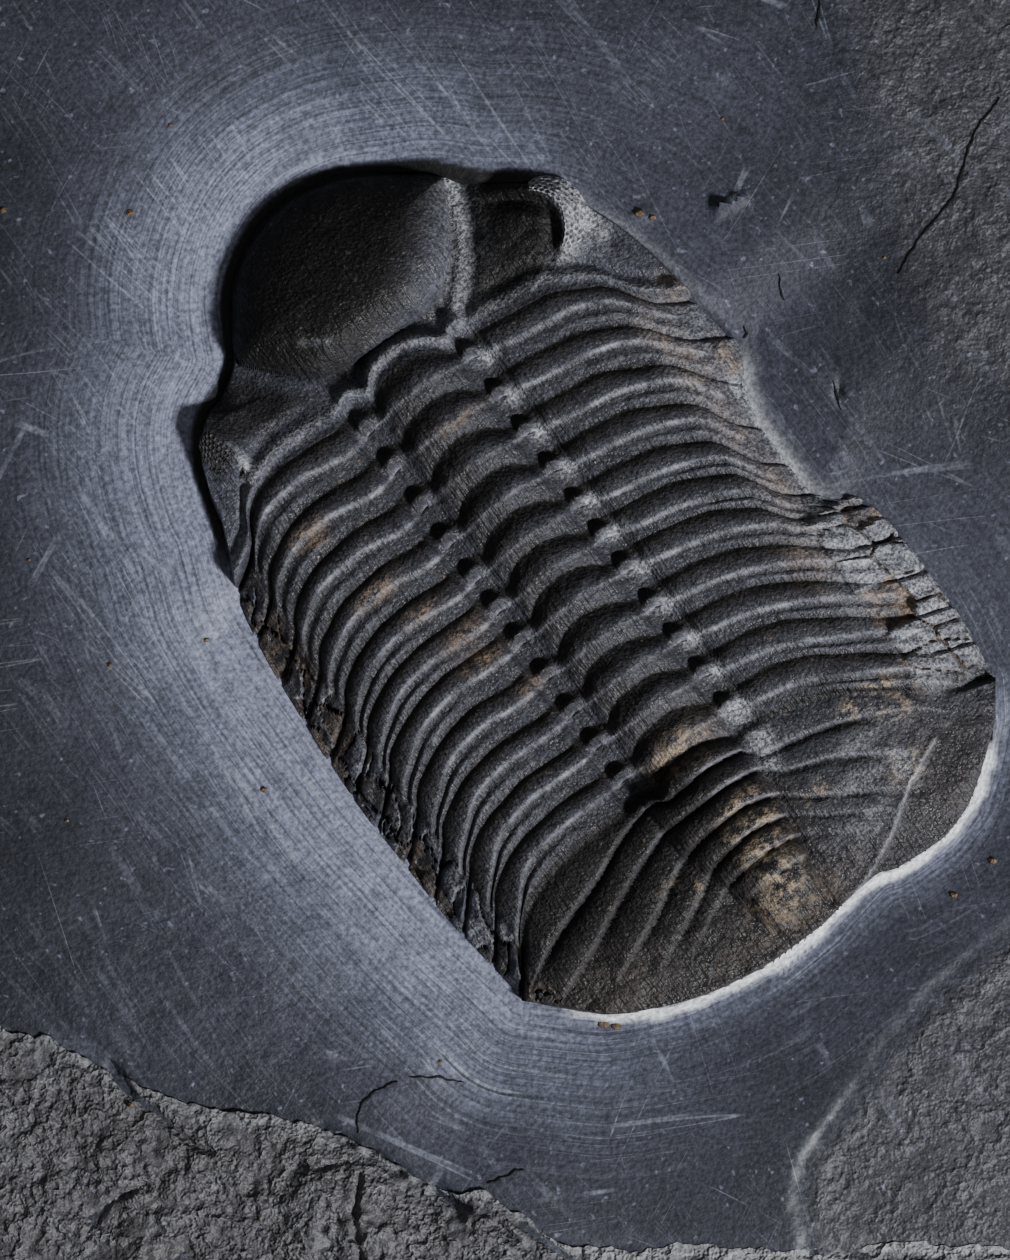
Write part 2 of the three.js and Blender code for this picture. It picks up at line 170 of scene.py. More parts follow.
def addGrid(name, columnCount, rowCount):
    # flat grid ready to be shaped; hands back the piece and its vertex order as [row, column]
    deselectAll()
    bpy.ops.mesh.primitive_grid_add(x_subdivisions=columnCount - 1, y_subdivisions=rowCount - 1,
                                    size=2, location=(0, 0, 0))
    piece = bpy.context.active_object
    piece.name = name
    piece.data.name = name
    flat = np.empty(len(piece.data.vertices) * 3)
    piece.data.vertices.foreach_get("co", flat)
    flat = flat.reshape(-1, 3)
    column = np.rint((flat[:, 0] + 1) / 2 * (columnCount - 1)).astype(int)
    row = np.rint((flat[:, 1] + 1) / 2 * (rowCount - 1)).astype(int)
    order = np.empty((rowCount, columnCount), int)
    order[row, column] = np.arange(len(flat))
    return piece, order


def shapeGrid(piece, order, places):
    # places: [row, column, xyz] in millimetres
    spots = np.empty((len(piece.data.vertices), 3))
    spots[order.ravel()] = places.reshape(-1, 3) * mm
    piece.data.vertices.foreach_set("co", spots.ravel())
    piece.data.update()


def paintPoints(piece, name, order, values):
    layer = piece.data.attributes.new(name, "FLOAT", "POINT")
    numbers = np.zeros(len(piece.data.vertices))
    numbers[order.ravel()] = values.ravel()
    layer.data.foreach_set("value", numbers)


def closeBelow(piece, steps):
    # extrudes the open rim down through the given (height, inset) steps and closes the floor
    deselectAll()
    piece.select_set(True)
    bpy.context.view_layer.objects.active = piece
    for height, inset in steps:
        bpy.ops.object.mode_set(mode="EDIT")
        bpy.ops.mesh.select_mode(type="EDGE")
        bpy.ops.mesh.select_all(action="DESELECT")
        bpy.ops.mesh.select_non_manifold(extend=False, use_wire=False, use_multi_face=False,
                                         use_non_contiguous=False, use_verts=False)
        bpy.ops.mesh.extrude_region_move(TRANSFORM_OT_translate={"value": (0, 0, -0.0005)})
        bpy.ops.object.mode_set(mode="OBJECT")
        for vertex in piece.data.vertices:
            if vertex.select:
                vertex.co.z = height * mm
                away = inset(vertex.co.x / mm, vertex.co.y / mm) if callable(inset) else inset
                reach = math.hypot(vertex.co.x, vertex.co.y)
                if reach > 0:
                    vertex.co.x -= vertex.co.x / reach * away * mm
                    vertex.co.y -= vertex.co.y / reach * away * mm
    bpy.ops.object.mode_set(mode="EDIT")
    bpy.ops.mesh.edge_face_add()
    bpy.ops.mesh.select_all(action="SELECT")
    bpy.ops.mesh.normals_make_consistent(inside=False)
    bpy.ops.object.mode_set(mode="OBJECT")


def smoothShade(piece, angle):
    deselectAll()
    piece.select_set(True)
    bpy.context.view_layer.objects.active = piece
    bpy.ops.object.shade_smooth_by_angle(angle=math.radians(angle))


# the animal: curves read off its body

trilobiteSettings = {
    "bodyLevel": 14.0,       # millimetres above the slab's underside
    "glabellaTop": 17.4,
    "ribHeight": 0.95,       # 1 is a rib about 0.8 mm high
    "rowsPerRib": 24,
    "headRows": 150,
    "tailRows": 120,
    "columnCount": 280,
    "skirtFloor": 9.0,
    "roughness": 0.07,
}
ts = trilobiteSettings

segmentStations = [226, 273, 320, 365, 410, 450, 489, 534, 577, 620, 662, 704]
frontOfFirstRib = softCurve([
    (-300, 88), (-280, 78), (-255, 62), (-245, 45), (-225, 32), (-200, 22), (-175, 15),
    (-150, 12), (-130, 12), (-100, 15), (-80, 12), (-70, 8), (-58, 12), (-50, 19), (-40, 9),
    (-25, 2), (0, 0), (15, 3), (30, 10), (42, 20), (48, 22), (55, 14), (65, 17), (80, 19),
    (100, 21), (130, 25), (150, 28), (170, 36), (200, 52), (220, 66), (240, 88), (260, 104),
    (300, 122)])
frontOfLastRib = softCurve([
    (-300, 108), (-280, 88), (-255, 60), (-240, 42), (-207, 24), (-173, 14), (-140, 10),
    (-100, 12), (-80, 10), (-70, 8), (-58, 12), (-50, 17), (-40, 9), (-25, 2), (0, 0), (15, 3),
    (30, 9), (42, 16), (48, 18), (55, 12), (65, 15), (80, 19), (100, 21), (130, 28), (150, 36),
    (180, 56), (200, 70), (225, 90), (250, 108), (300, 128)])
rearOfFirstRib = softCurve([
    (-300, 104), (-280, 95), (-260, 79), (-250, 62), (-230, 49), (-200, 39), (-175, 36),
    (-150, 35), (-130, 39), (-100, 44), (-80, 41), (-50, 35), (0, 32), (50, 37), (70, 41),
    (100, 49), (150, 55), (175, 60), (200, 72), (220, 87), (240, 106), (260, 122), (300, 138)])
rearOfLastRib = softCurve([
    (-300, 128), (-280, 118), (-245, 88), (-225, 68), (-205, 48), (-180, 36), (-150, 31),
    (-130, 31), (-80, 31), (-50, 31), (0, 30), (50, 36), (70, 41), (100, 48), (130, 56),
    (150, 66), (180, 84), (225, 109), (250, 124), (300, 142)])
leftMargin = softCurve([
    (100, -240), (250, -248), (270, -251), (312, -275), (340, -281), (400, -290), (450, -294),
    (500, -298), (560, -300), (620, -298), (700, -295), (750, -289), (800, -283)])
rightMargin = softCurve([
    (100, 250), (250, 265), (330, 275), (400, 283), (430, 272), (450, 260), (500, 251),
    (560, 252), (590, 268), (600, 288), (650, 300), (700, 302), (760, 301), (830, 292)])
thoraxVault = softCurve([
    (-300, -2.1), (-284, -1.5), (-266, -0.8), (-246, -0.1), (-222, 0.6), (-190, 1.05),
    (-150, 1.25), (-115, 1.15), (-90, 0.95), (-80, 0.25), (-70, 0.3), (-60, 0.4), (-48, 0.9),
    (-30, 1.7), (-5, 2.1), (20, 1.85), (38, 1.1), (48, 0.5), (54, 0.4), (60, 0.35), (68, 0.25),
    (78, 0.6), (92, 1.0), (115, 1.15), (150, 1.25), (190, 1.05), (222, 0.6), (246, -0.1),
    (266, -0.8), (284, -1.5), (300, -2.1)])
glabellaOutline = np.array([
    (22, 0), (24, -22), (32, -50), (46, -76), (68, -102), (98, -122), (118, -134), (128, -134),
    (150, -116), (172, -96), (190, -78), (196, -50), (196, 0), (198, 45), (190, 72), (170, 97),
    (135, 122), (97, 144), (82, 130), (66, 108), (50, 84), (33, 54), (25, 24)], float)
headArc = softCurve([
    (-228, 196), (-217, 176), (-200, 156), (-184, 146), (-168, 140), (-154, 134), (-138, 122),
    (-124, 98), (-104, 68), (-78, 46), (-52, 32), (-24, 23), (0, 21), (24, 24), (54, 32),
    (84, 49), (108, 65), (130, 80), (147, 96), (160, 112), (176, 128), (192, 141), (212, 160),
    (229, 182), (240, 202)])
tailArc = softCurve([
    (-205, 883), (-190, 890), (-150, 908), (-100, 921), (-50, 927), (0, 927), (35, 922),
    (80, 918), (100, 925), (150, 928), (190, 918), (220, 900)])
headLeftSide = [(196, -228), (225, -240), (250, -246)]
headRightSide = [(200, 240), (225, 248), (250, 259), (285, 268)]
tailLeftSide = [(850, -245), (870, -225), (883, -205)]
tailRightSide = [(862, 268), (877, 250), (900, 220)]
tailRibLines = [softCurve(line) for line in (
    [(-300, 826), (-260, 800), (-209, 777), (-147, 756), (-98, 735), (-60, 727), (-45, 733),
     (0, 730), (40, 736), (54, 752), (113, 765), (165, 785), (206, 807), (250, 842), (300, 868)],
    [(-300, 858), (-260, 838), (-206, 817), (-132, 782), (-86, 764), (-60, 757), (0, 755),
     (40, 760), (66, 779), (110, 796), (174, 839), (230, 872), (300, 900)],
    [(-300, 890), (-220, 864), (-177, 844), (-131, 825), (-75, 795), (-40, 784), (0, 781),
     (30, 787), (78, 820), (117, 843), (146, 862), (200, 892), (300, 930)],
    [(-300, 915), (-200, 886), (-144, 863), (-108, 847), (-72, 829), (-40, 812), (0, 807),
     (30, 812), (78, 842), (117, 866), (150, 888), (300, 950)],
    [(-300, 940), (-200, 908), (-144, 884), (-108, 868), (-72, 850), (-40, 836), (0, 832),
     (30, 836), (78, 864), (117, 886), (300, 970)],
    [(-300, 960), (-200, 930), (-108, 890), (-72, 872), (-40, 860), (0, 857), (30, 860),
     (78, 886), (300, 990)])]
tailRibReach = [(275, 240), (268, 190), (205, 168), (165, 150), (135, 120)]
borderRidge = [(842, 204), (852, 182), (861, 160), (877, 136), (890, 118), (903, 94), (912, 72),
               (920, 52)]
facetOutline = np.array(borderRidge + [(960, 60), (960, 300), (830, 300)], float)
axisLeftEdge = softCurve([(700, -64), (780, -66), (810, -58), (840, -48), (891, -40), (930, -34)])
axisRightEdge = softCurve([(700, 44), (779, 43), (841, 35), (895, 25), (930, 20)])

columns = np.linspace(-300, 300, ts["columnCount"])


def squeeze(column, station):
    margin = np.where(column < 0, leftMargin(station), rightMargin(station))
    share = np.clip((np.abs(column) - 200) / 100, 0, 1)
    outer = np.sign(column) * (200 + share * (np.abs(margin) - 200))
    return np.where(np.abs(column) <= 200, column, outer)


def ribEdges(segment):
    # front and rear station of a rib at every column
    share = segment / 11
    start = segmentStations[segment]
    front = start + (1 - share) * frontOfFirstRib(columns) + share * frontOfLastRib(columns)
    rear = start + (1 - share) * rearOfFirstRib(columns) + share * rearOfLastRib(columns)
    return front, rear


def nearColumn(low, high, soft):
    return smooth(low - soft, low + soft, columns) * (1 - smooth(high - soft, high + soft, columns))


onAxis = nearColumn(-50, 42, 4)
onNode = np.maximum(bump(columns + 70, 9), bump(columns - 59, 8))
onFurrow = np.clip(nearColumn(-88, -52, 3) + nearColumn(44, 78, 3), 0, 1) * (1 - 0.85 * onNode)
onTip = 1 - nearColumn(-258, 258, 6)
outward = smooth(110, 200, np.abs(columns)) * (1 - onTip)
# painted shade: crest and band paint weaker on the far left, whose slope falls away from the lamp
outerFade = 1 - 0.65 * (1 - smooth(-225, -195, columns))

ribTop = softCurve([(0, -0.2), (0.08, -0.08), (0.22, 0.16), (0.45, 0.35), (0.7, 0.44),
                    (0.84, 0.42), (0.94, 0.24), (1, 0.04)])
ringTop = softCurve([(0, -0.34), (0.15, -0.22), (0.35, 0.05), (0.55, 0.3), (0.8, 0.45),
                     (0.93, 0.42), (1, 0.3)])
bandTop = softCurve([(0, 0.04), (0.2, -0.04), (0.5, -0.08), (0.85, -0.13), (1, -0.2)])
ringBand = softCurve([(0, 0.3), (0.4, 0.08), (0.8, -0.2), (1, -0.34)])
bandOut = softCurve([(0, 0.04), (0.16, -0.14), (0.3, -0.2), (0.42, -0.02), (0.58, 0.12),
                     (0.72, 0.02), (1, -0.2)])


sideStrength = 1 - 0.15 * smooth(75, 110, columns)


def ribRelief(share, wobble):
    # share 0 to 1 over the rib, height in millimetres at every column
    side = ribTop(share) * (1 - onAxis) + ringTop(share) * onAxis
    node = 1.25 * bump(share - 0.5, 0.26) - 0.55
    furrow = -0.32 + 0.18 * share
    tip = -0.75 * bump(share - 0.02, 0.1) + 0.12 + 0.15 * wobble
    height = side * (1 - onFurrow) + furrow * onFurrow
    height = height * (1 - onNode) + node * onNode
    return height * (1 - onTip) + tip * onTip


def bandRelief(share, wobble):
    side = (bandTop(share) * (1 - outward) + bandOut(share) * outward) * (1 - onAxis)
    side = side + ringBand(share) * onAxis
    furrow = -0.14 - 0.2 * share
    node = -0.3
    tip = 0.12 + 0.15 * wobble - 0.5 * smooth(0.7, 1, share)
    height = side * (1 - onFurrow) + furrow * onFurrow
    height = height * (1 - onNode) + node * onNode
    return height * (1 - onTip) + tip * onTip


def thoraxRows():
    rows = []
    half = ts["rowsPerRib"] // 2
    for segment in range(11):
        front, rear = ribEdges(segment)
        nextFront, _ = ribEdges(segment + 1)
        wobble = np.array([noise.noise(Vector((c * 0.03, segment * 3.7, 1.3))) for c in columns])
        front = front + 1.9 * wobble
        rear = rear + 1.5 * wobble
        # crest: painted highlight along the rear edge of each rib, which faces the lamp, stronger
        # or weaker at random along the rib
        crestHighlightStrength = np.array([0.7 + 0.9
                         * noise.fractal(Vector((c * 0.045, segment * 5.1, 7.7)), 0.9, 2.0, 4)
                         for c in columns])
        for k in range(half + 2):
            share = k / (half + 2)
            height = ribRelief(share, wobble) * ts["ribHeight"] * sideStrength
            crest = crestHighlightStrength * bump(share - 0.94, 0.075) * (1 - 0.75 * onAxis) * outerFade
            shade = 0.6 * bump(share - 0.03, 0.11)
            # the band paint grows from the rib's front to its rear: painted light on the rounding
            # that turns towards the lamp
            rows.append((front + share * (rear - front), height, crest,
                         0.75 * smooth(0.15, 0.85, share), shade))
        nextWobble = np.array([noise.noise(Vector((c * 0.03, (segment + 1) * 3.7, 1.3)))
                               for c in columns])
        for k in range(half - 2):
            share = k / (half - 2)
            height = bandRelief(share, wobble) * ts["ribHeight"] * sideStrength
            end = nextFront + 1.9 * nextWobble
            # painted highlight on the small ridge of the outer band and on the rear edge of the rib
            # before it
            crest = (0.5 * bump(share - 0.55, 0.1) * outward
                     + crestHighlightStrength * bump(share + 0.06, 0.075) * (1 - 0.75 * onAxis)) * outerFade
            shade = 0.55 * bump(1 - share, 0.12) + 0.3 * bump(share - 0.2, 0.07)
            rows.append((rear + share * (end - rear), height, crest,
                         0.62 - 0.25 * smooth(0.75, 1, share), shade))
    places, crests, bands, shades = [], [], [], []
    for u, height, crest, stage, shade in rows:
        v = squeeze(columns, u)
        z = ts["bodyLevel"] + thoraxVault(columns) + height
        z = z - 0.12 * (bump(columns + 257, 4) + bump(columns - 257, 4)) * smooth(420, 470, u)
        places.append(np.stack([u, v, z], axis=1))
        crests.append(crest * (1 - onTip))
        # painted shade: band paint weaker on the left half of the axis, which is turned from the
        # lamp
        bands.append(stage * (1 - 0.5 * onTip) * (0.45 + 0.55 * outerFade)
                     * (1 - 0.62 * onAxis * (1 - smooth(-20, 10, columns))))
        shades.append(shade * (1 - onTip) * (1 - onNode))
    return places, crests, bands, shades


def polarShare(outline, centre, u, v):
    # 0 at the centre, 1 on the outline
    du, dv = u - centre[0], v - centre[1]
    share = np.zeros(np.shape(u))
    for a, b in zip(outline, np.roll(outline, -1, axis=0)):
        au, av = a - centre
        eu, ev = b - a
        cross = du * ev - dv * eu
        cross = np.where(np.abs(cross) < 1e-9, 1e-9, cross)
        reach = (au * ev - av * eu) / cross
        place = (au * dv - av * du) / cross
        hit = (reach > 0) & (place >= 0) & (place <= 1)
        share = np.where(hit, 1 / np.where(reach > 0, reach, 1), share)
    return share


eyeSettings = {
    "rightCrest": [(136, 160), (145, 178), (156, 194), (168, 206), (180, 213), (194, 214),
                   (208, 208), (220, 199), (229, 187)],
    "leftCrest": [(136, -182), (148, -194), (164, -198), (180, -192), (196, -187), (214, -189),
                  (232, -198)],
    "height": 1.0,
    "lensPitch": 5.6,        # steps between the lenses of a row
    "lensDepth": 0.22,
    "lensColumns": 190,
    "lensRows": 76,
    "skirtFloor": 11.0,
}
es = eyeSettings
rightCrest, leftCrest = es["rightCrest"], es["leftCrest"]
eyeRun = softCurve([(0, 0.12), (0.12, 0.5), (0.35, 0.95), (0.6, 1.0), (0.85, 0.8), (0.95, 0.5),
                    (1, 0.2)])
rightProfile = softCurve([(-70, 0), (-48, 0.2), (-34, 0.75), (-22, 1.05), (-14, 0.75), (-8, 0.5),
                          (-4, 1.1), (-1, 1.8), (2, 1.95), (6, 1.75), (14, 0.85), (24, 0.1),
                          (30, 0)])
leftProfile = softCurve([(-60, 0), (-40, 0.2), (-25, 0.45), (-12, 0.75), (-5, 1.2), (0, 1.55),
                         (8, 1.45), (22, 0.9), (40, 0.1), (50, 0)])


glabellaFlank = [(91, 150), (120, 139), (146, 126), (176, 107), (197, 86), (217, 66)]
cheekGroove = [(120, -150), (150, -128), (185, -97), (213, -72)]


def eyeField(u, v, crestLine, side):
    # distance from the crest of the eye, outward positive, and the share along it
    gap, along = nearestOnLine(crestLine, u, v)
    length = np.hypot(*np.diff(np.array(crestLine, float), axis=0).T).sum()
    cheekSide = np.array(list(crestLine)
            + [(crestLine[-1][0] + 30, side * 100), (crestLine[0][0] - 20, side * 100)], float)
    return np.where(insideOutline(cheekSide, u, v), -gap, gap), along / length


def headHeight(u, v, rearEdge):
    fromRear = rearEdge - u
    share = polarShare(glabellaOutline, np.array([118.0, -5.0]), u, v)
    foot = 12.3 + 2.2 * smooth(70, 185, u) - 0.5 * smooth(60, 140, v) * (1 - smooth(150, 200, u))
    crown = ts["glabellaTop"] - 2.3 * (1 - smooth(15, 165, u)) - 0.5 * smooth(165, 196, u)
    cheek = 12.6 + 1.6 * smooth(100, 190, u)
    dome = foot + (crown - foot) * np.clip(1 - np.clip(share, 0, 1) ** 3.6, 0, 1) ** 0.6
    height = np.where(share < 1, dome, cheek)
    outside = smooth(0.98, 1.06, share)
    strip, _ = nearestOnLine(glabellaFlank, u, v)
    for side, line, profile in ((1, rightCrest, rightProfile), (-1, leftCrest, leftProfile)):
        offset, run = eyeField(u, v, line, side)
        eye = profile(offset) * eyeRun(run) * es["height"]
        height = height + np.where(np.sign(v) == side, eye, 0) * outside
    height = height + 0.3 * bump(np.hypot((u - 196) / 1.3, v - 158), 16) * outside
    height = height - 0.4 * bump(np.hypot((u - 160) / 1.6, v - 134), 9) * outside
    height = height + 0.55 * bump(np.hypot(u - 205, v + 135), 24) * outside
    height = height - 0.5 * bump(np.hypot(u - 140, v + 172), 13) * outside
    height = height - 0.5 * bump(np.hypot((u - 247) / 1.2, v - 238), 9)
    axis = 1 - smooth(45, 62, np.abs(v + 5))
    height = height + axis * (1.25 * bump(fromRear - 17, 11)
                              + 0.45 * bump(np.hypot((u - 200) / 0.8, v + 10), 13))
    for nodeV, nodeU in ((-70, 219), (62, 223)):
        height = height + 0.8 * bump(np.hypot(u - nodeU, v - nodeV), 8)
    height = height - 0.3 * bump(fromRear - 40, 9) * (1 - smooth(60, 75, np.abs(v)))
    cheekBorder = bump(fromRear - 15, 11) * (1 - axis)
    outerCheek = smooth(90, 120, np.abs(v))
    height = height + 0.5 * cheekBorder - 0.3 * bump(fromRear - 34, 8) * (1 - axis) * outerCheek
    height = height - 0.35 * bump(strip - 12, 6) * outside
    return height


def alongPath(path, share):
    path = np.asarray(path, float)
    lengths = lengthsAlong(path)
    target = share * lengths[-1]
    return np.array([np.interp(target, lengths, path[:, 0]),
                     np.interp(target, lengths, path[:, 1])])


def patchRow(front, rear, left, right, share):
    across = np.linspace(0, 1, len(columns))[:, None]
    sides = (1 - across) * alongPath(left, share) + across * alongPath(right, share)
    corners = ((1 - share) * ((1 - across) * front[0] + across * front[-1])
               + share * ((1 - across) * rear[0] + across * rear[-1]))
    return (1 - share) * front + share * rear + sides - corners


def spreadOver(arc, low, high):
    v = low + (columns + 300) / 600 * (high - low)
    return np.stack([arc(v), v], axis=1)


def headRows(firstRow):
    rear = firstRow[:, :2]
    front = spreadOver(headArc, -228, 240)
    left = headLeftSide + [tuple(rear[0])]
    right = headRightSide + [tuple(rear[-1])]
    places = []
    for k in range(ts["headRows"]):
        share = k / ts["headRows"]
        share = share + 0.35 * share * (1 - share) * (share - 0.7)
        row = patchRow(front, rear, left, right, share)
        height = headHeight(row[:, 0], row[:, 1], rear[:, 0])
        edge = smooth(0, 0.05, share) * smooth(0, 8, 300 - np.abs(columns))
        height = 12.0 + (height - 12.0) * edge ** 0.6
        fade = smooth(0.9, 1, share)
        height = height * (1 - fade) + firstRow[:, 2] * fade
        places.append(np.column_stack([row, height]))
    return places


def tailRelief(u, v, frontEdge):
    # rings and ribs that fade backwards, the raised axis, and the ridge inside the right border,
    # with painted highlight on their crests and painted shade in their grooves
    relief, crest, groove = np.zeros(u.shape), np.zeros(u.shape), np.zeros(u.shape)
    left, right = axisLeftEdge(u), axisRightEdge(u)
    ring = smooth(-5, 4, v - left) * (1 - smooth(-4, 5, v - right))
    edges = [frontEdge] + [line(v) for line in tailRibLines]
    for number in range(6):
        place = (u - edges[number]) / np.maximum(edges[number + 1] - edges[number], 1)
        here = (place >= 0) & (place < 1)
        place = np.clip(place, 0, 1)
        reachLeft, reachRight = tailRibReach[min(number, 4)]
        sideFade = np.where(v < 0, 1 - smooth(reachLeft - 45, reachLeft, -v),
                            1 - smooth(reachRight - 30, reachRight, v))
        sideFade = sideFade * (1.0, 1.0, 0.85, 0.6, 0.35, 0.0)[number]
        ringFade = (0.9, 1.0, 0.95, 0.85, 0.7, 0.5)[number]
        wave = ribTop(place) * sideFade * (1.2 - 0.35 * np.sign(v)) * (1 - ring)
        wave = wave + 2.1 * (ribTop(place) - 0.1) * ringFade * ring
        relief = np.where(here, wave, relief)
        # painted highlight on the rear edge of each rib, weaker further out on the left, and on the
        # crests of each ring's right half, which face the lamp
        sideCrest = np.where(v < 0, 0.5 * (1 - 0.5 * smooth(90, 220, -v)), 0.36) * sideFade
        tailCrestHighlight = sideCrest * (1 - ring) + 0.95 * ringFade * ring * smooth(-35, 5, v)
        crest = np.where(here, bump(place - 0.92, 0.07) * tailCrestHighlight, crest)
        # painted shade in the groove in front of each rib and ring and before the next
        groove = np.where(here, (bump(place - 0.08, 0.14) + 0.6 * bump(1 - place, 0.06))
                          * np.maximum(sideFade, ringFade * ring), groove)
    gap, _ = nearestOnLine(borderRidge, u, v)
    outer = insideOutline(facetOutline, u, v)
    relief = np.where(outer, relief * 0.2 - 0.32 * smooth(0, 5, gap), relief) + 0.16 * bump(gap, 4)
    # painted highlight along the ridge inside the right border
    crest = np.maximum(crest, 0.7 * bump(gap, 2.5))
    furrow = bump(v - left, 6) + bump(v - right - 3, 6)
    relief = relief - 0.28 * furrow * smooth(720, 760, u)
    relief = relief - 0.9 * bump(np.hypot(u - 877, (v + 232) * 0.8), 8)
    return relief, crest, ring, outer, groove * (1 - outer)


def tailRows(lastRow):
    front = lastRow[:, :2]
    rear = spreadOver(tailArc, -205, 220)
    left = [tuple(front[0])] + tailLeftSide
    right = [tuple(front[-1])] + tailRightSide
    shares = np.arange(0, ts["tailRows"] + 1) / ts["tailRows"]
    rows = np.array([patchRow(front, rear, left, right, share) for share in shares])
    u, v = rows[..., 0], rows[..., 1]
    share = shares[:, None] * np.ones(len(columns))
    relief, crest, ring, outer, groove = tailRelief(u, v, front[:, 0][None, :] * np.ones(u.shape))
    axisEnd = 1 - smooth(880, 912, u)
    dome = 2.2 * (1 - 0.45 * smooth(720, 890, u)) * axisEnd
    mid = (axisRightEdge(u) + axisLeftEdge(u)) / 2
    half = (axisRightEdge(u) - axisLeftEdge(u)) / 2 + 4
    dome = dome * np.clip(1 - ((v - mid) / half) ** 2, 0, 1) ** 0.6
    pleura = softCurve([(0, 0.15), (40, 0.2), (75, 0.4), (150, 0.6), (220, 0.2), (266, -0.35),
                        (300, -0.9)])(np.abs(v))
    outerDrop = 0.55 * smooth(0.7, 1, share)
    height = ts["bodyLevel"] + pleura * (1 - 0.5 * share) + dome + relief - outerDrop
    blendIn = smooth(0, 0.05, share)
    height = lastRow[:, 2] * (1 - blendIn) + height * blendIn
    edge = smooth(0, 0.02, 1 - share) * smooth(0, 6, 300 - np.abs(columns))[None, :]
    height = 13.1 + (height - 13.1) * edge ** 0.6
    return rows, height, crest, ring, outer, groove


thoraxPlaces, thoraxCrests, thoraxBands, thoraxShades = thoraxRows()
headPlaces = np.array(headRows(thoraxPlaces[0]) + [thoraxPlaces[0]])
tailUV, tailZ, tailCrests, tailRing, tailOuter, tailShades = tailRows(thoraxPlaces[-1])
thoraxPlaces = np.array(thoraxPlaces)
tailPlaces = np.concatenate([tailUV, tailZ[..., None]], axis=2)


def rimRun(places):
    x, y = toSlab(places[..., 0], places[..., 1])
    return np.stack([x, y], axis=2)


headRim, thoraxRim, tailRim = rimRun(headPlaces), rimRun(thoraxPlaces), rimRun(tailPlaces)
rim = np.concatenate([
    headRim[0, ::-1], headRim[1:, 0], thoraxRim[1:, 0], tailRim[1:, 0], tailRim[-1, 1:],
    tailRim[-2::-1, -1], thoraxRim[-2::-1, -1], headRim[-2:0:-1, -1]])

tanSpots = [(395, -160, 9, 22, 1), (305, -180, 8, 20, 0.9), (480, -112, 10, 22, 0.9),
            (510, -112, 10, 22, 0.9), (438, -135, 8, 18, 0.8), (318, -178, 8, 18, 0.7),
            (560, -90, 8, 16, 0.7), (350, 222, 30, 14, 0.7), (400, 228, 40, 16, 0.7),
            (470, 226, 40, 14, 0.6), (540, 228, 40, 16, 0.6), (322, 262, 16, 12, 1),
            (412, 264, 22, 10, 1), (390, -268, 60, 14, 0.4), (620, 210, 40, 20, 0.5),
            (850, -190, 50, 60, 0.12), (880, 190, 40, 40, 0.4), (690, 5, 18, 30, 0.6),
            (900, 0, 20, 120, 0.18), (305, 10, 6, 26, 0.5)]
goldSpots = [(775, 5, 10, 26, 0.9), (800, 8, 12, 28, 1), (825, 5, 16, 26, 0.9),
             (860, 0, 30, 22, 0.8), (700, -10, 12, 30, 0.5), (766, 175, 9, 30, 1),
             (790, 195, 14, 26, 0.6), (815, 80, 10, 16, 0.5), (845, 165, 18, 16, 0.5),
             (880, -10, 20, 30, 0.7), (800, -100, 6, 12, 0.7), (820, -75, 8, 8, 0.8)]
# pale patches: mostly painted highlight on faces turned to the lamp, on the right eye, the crest of
# the left eye and the furrows and ribs on the right; partly pale shell
paleSpots = [(205, 230, 34, 16, 1), (152, -70, 4, 5, 0.25), (159, -60, 4, 5, 0.28),
             (166, -49, 4, 5, 0.25), (214, -188, 20, 5, 0.7), (704, 64, 12, 14, 0.9),
             (738, 66, 10, 13, 0.9), (760, 60, 12, 11, 0.7), (232, 196, 8, 16, 0.6),
             (798, 150, 10, 36, 0.28), (830, 130, 14, 40, 0.24), (862, 105, 16, 28, 0.2),
             (845, 165, 20, 12, 0.5)]
# dark patches: mostly painted shade on faces turned from the lamp and in hollows, on the left of
# the tail and of its axis and in front of the left eye; partly dark shell
darkSpots = [(790, -150, 80, 100, 0.75), (740, -110, 40, 60, 0.7), (860, -110, 50, 80, 0.6),
             (795, -34, 60, 16, 0.6), (730, 120, 10, 60, 0.5), (775, 62, 22, 12, 0.5),
             (144, -176, 20, 22, 1), (192, -140, 36, 38, 0.7), (166, -214, 26, 16, 0.6),
             (876, -234, 10, 13, 1), (245, 240, 11, 22, 0.7), (760, -20, 14, 20, 0.8),
             (733, -25, 12, 22, 0.8), (785, -30, 12, 16, 0.8)]
darkCheek = np.array([(98, 160), (122, 168), (138, 192), (156, 212), (178, 219), (196, 217),
                      (216, 201), (228, 187), (225, 166), (240, 142), (236, 120),
                      (230, 104), (212, 98), (190, 112), (165, 132), (128, 152)], float)
glabellaFade = softCurve([(-170, 200), (-110, 195), (-20, 186), (27, 170), (63, 144), (100, 116),
                          (144, 92), (165, 84)])


def patches(u, v, spots):
    # soft patches at (station, across, length, width, strength)
    total = np.zeros(u.shape)
    for spotU, spotV, length, width, strength in spots:
        away = np.hypot((u - spotU) / length, (v - spotV) / width)
        total = np.maximum(total, strength * bump(away, 1.0))
    return total


def raiseMark(marks, key, values):
    marks[key] = np.maximum(marks[key], values)


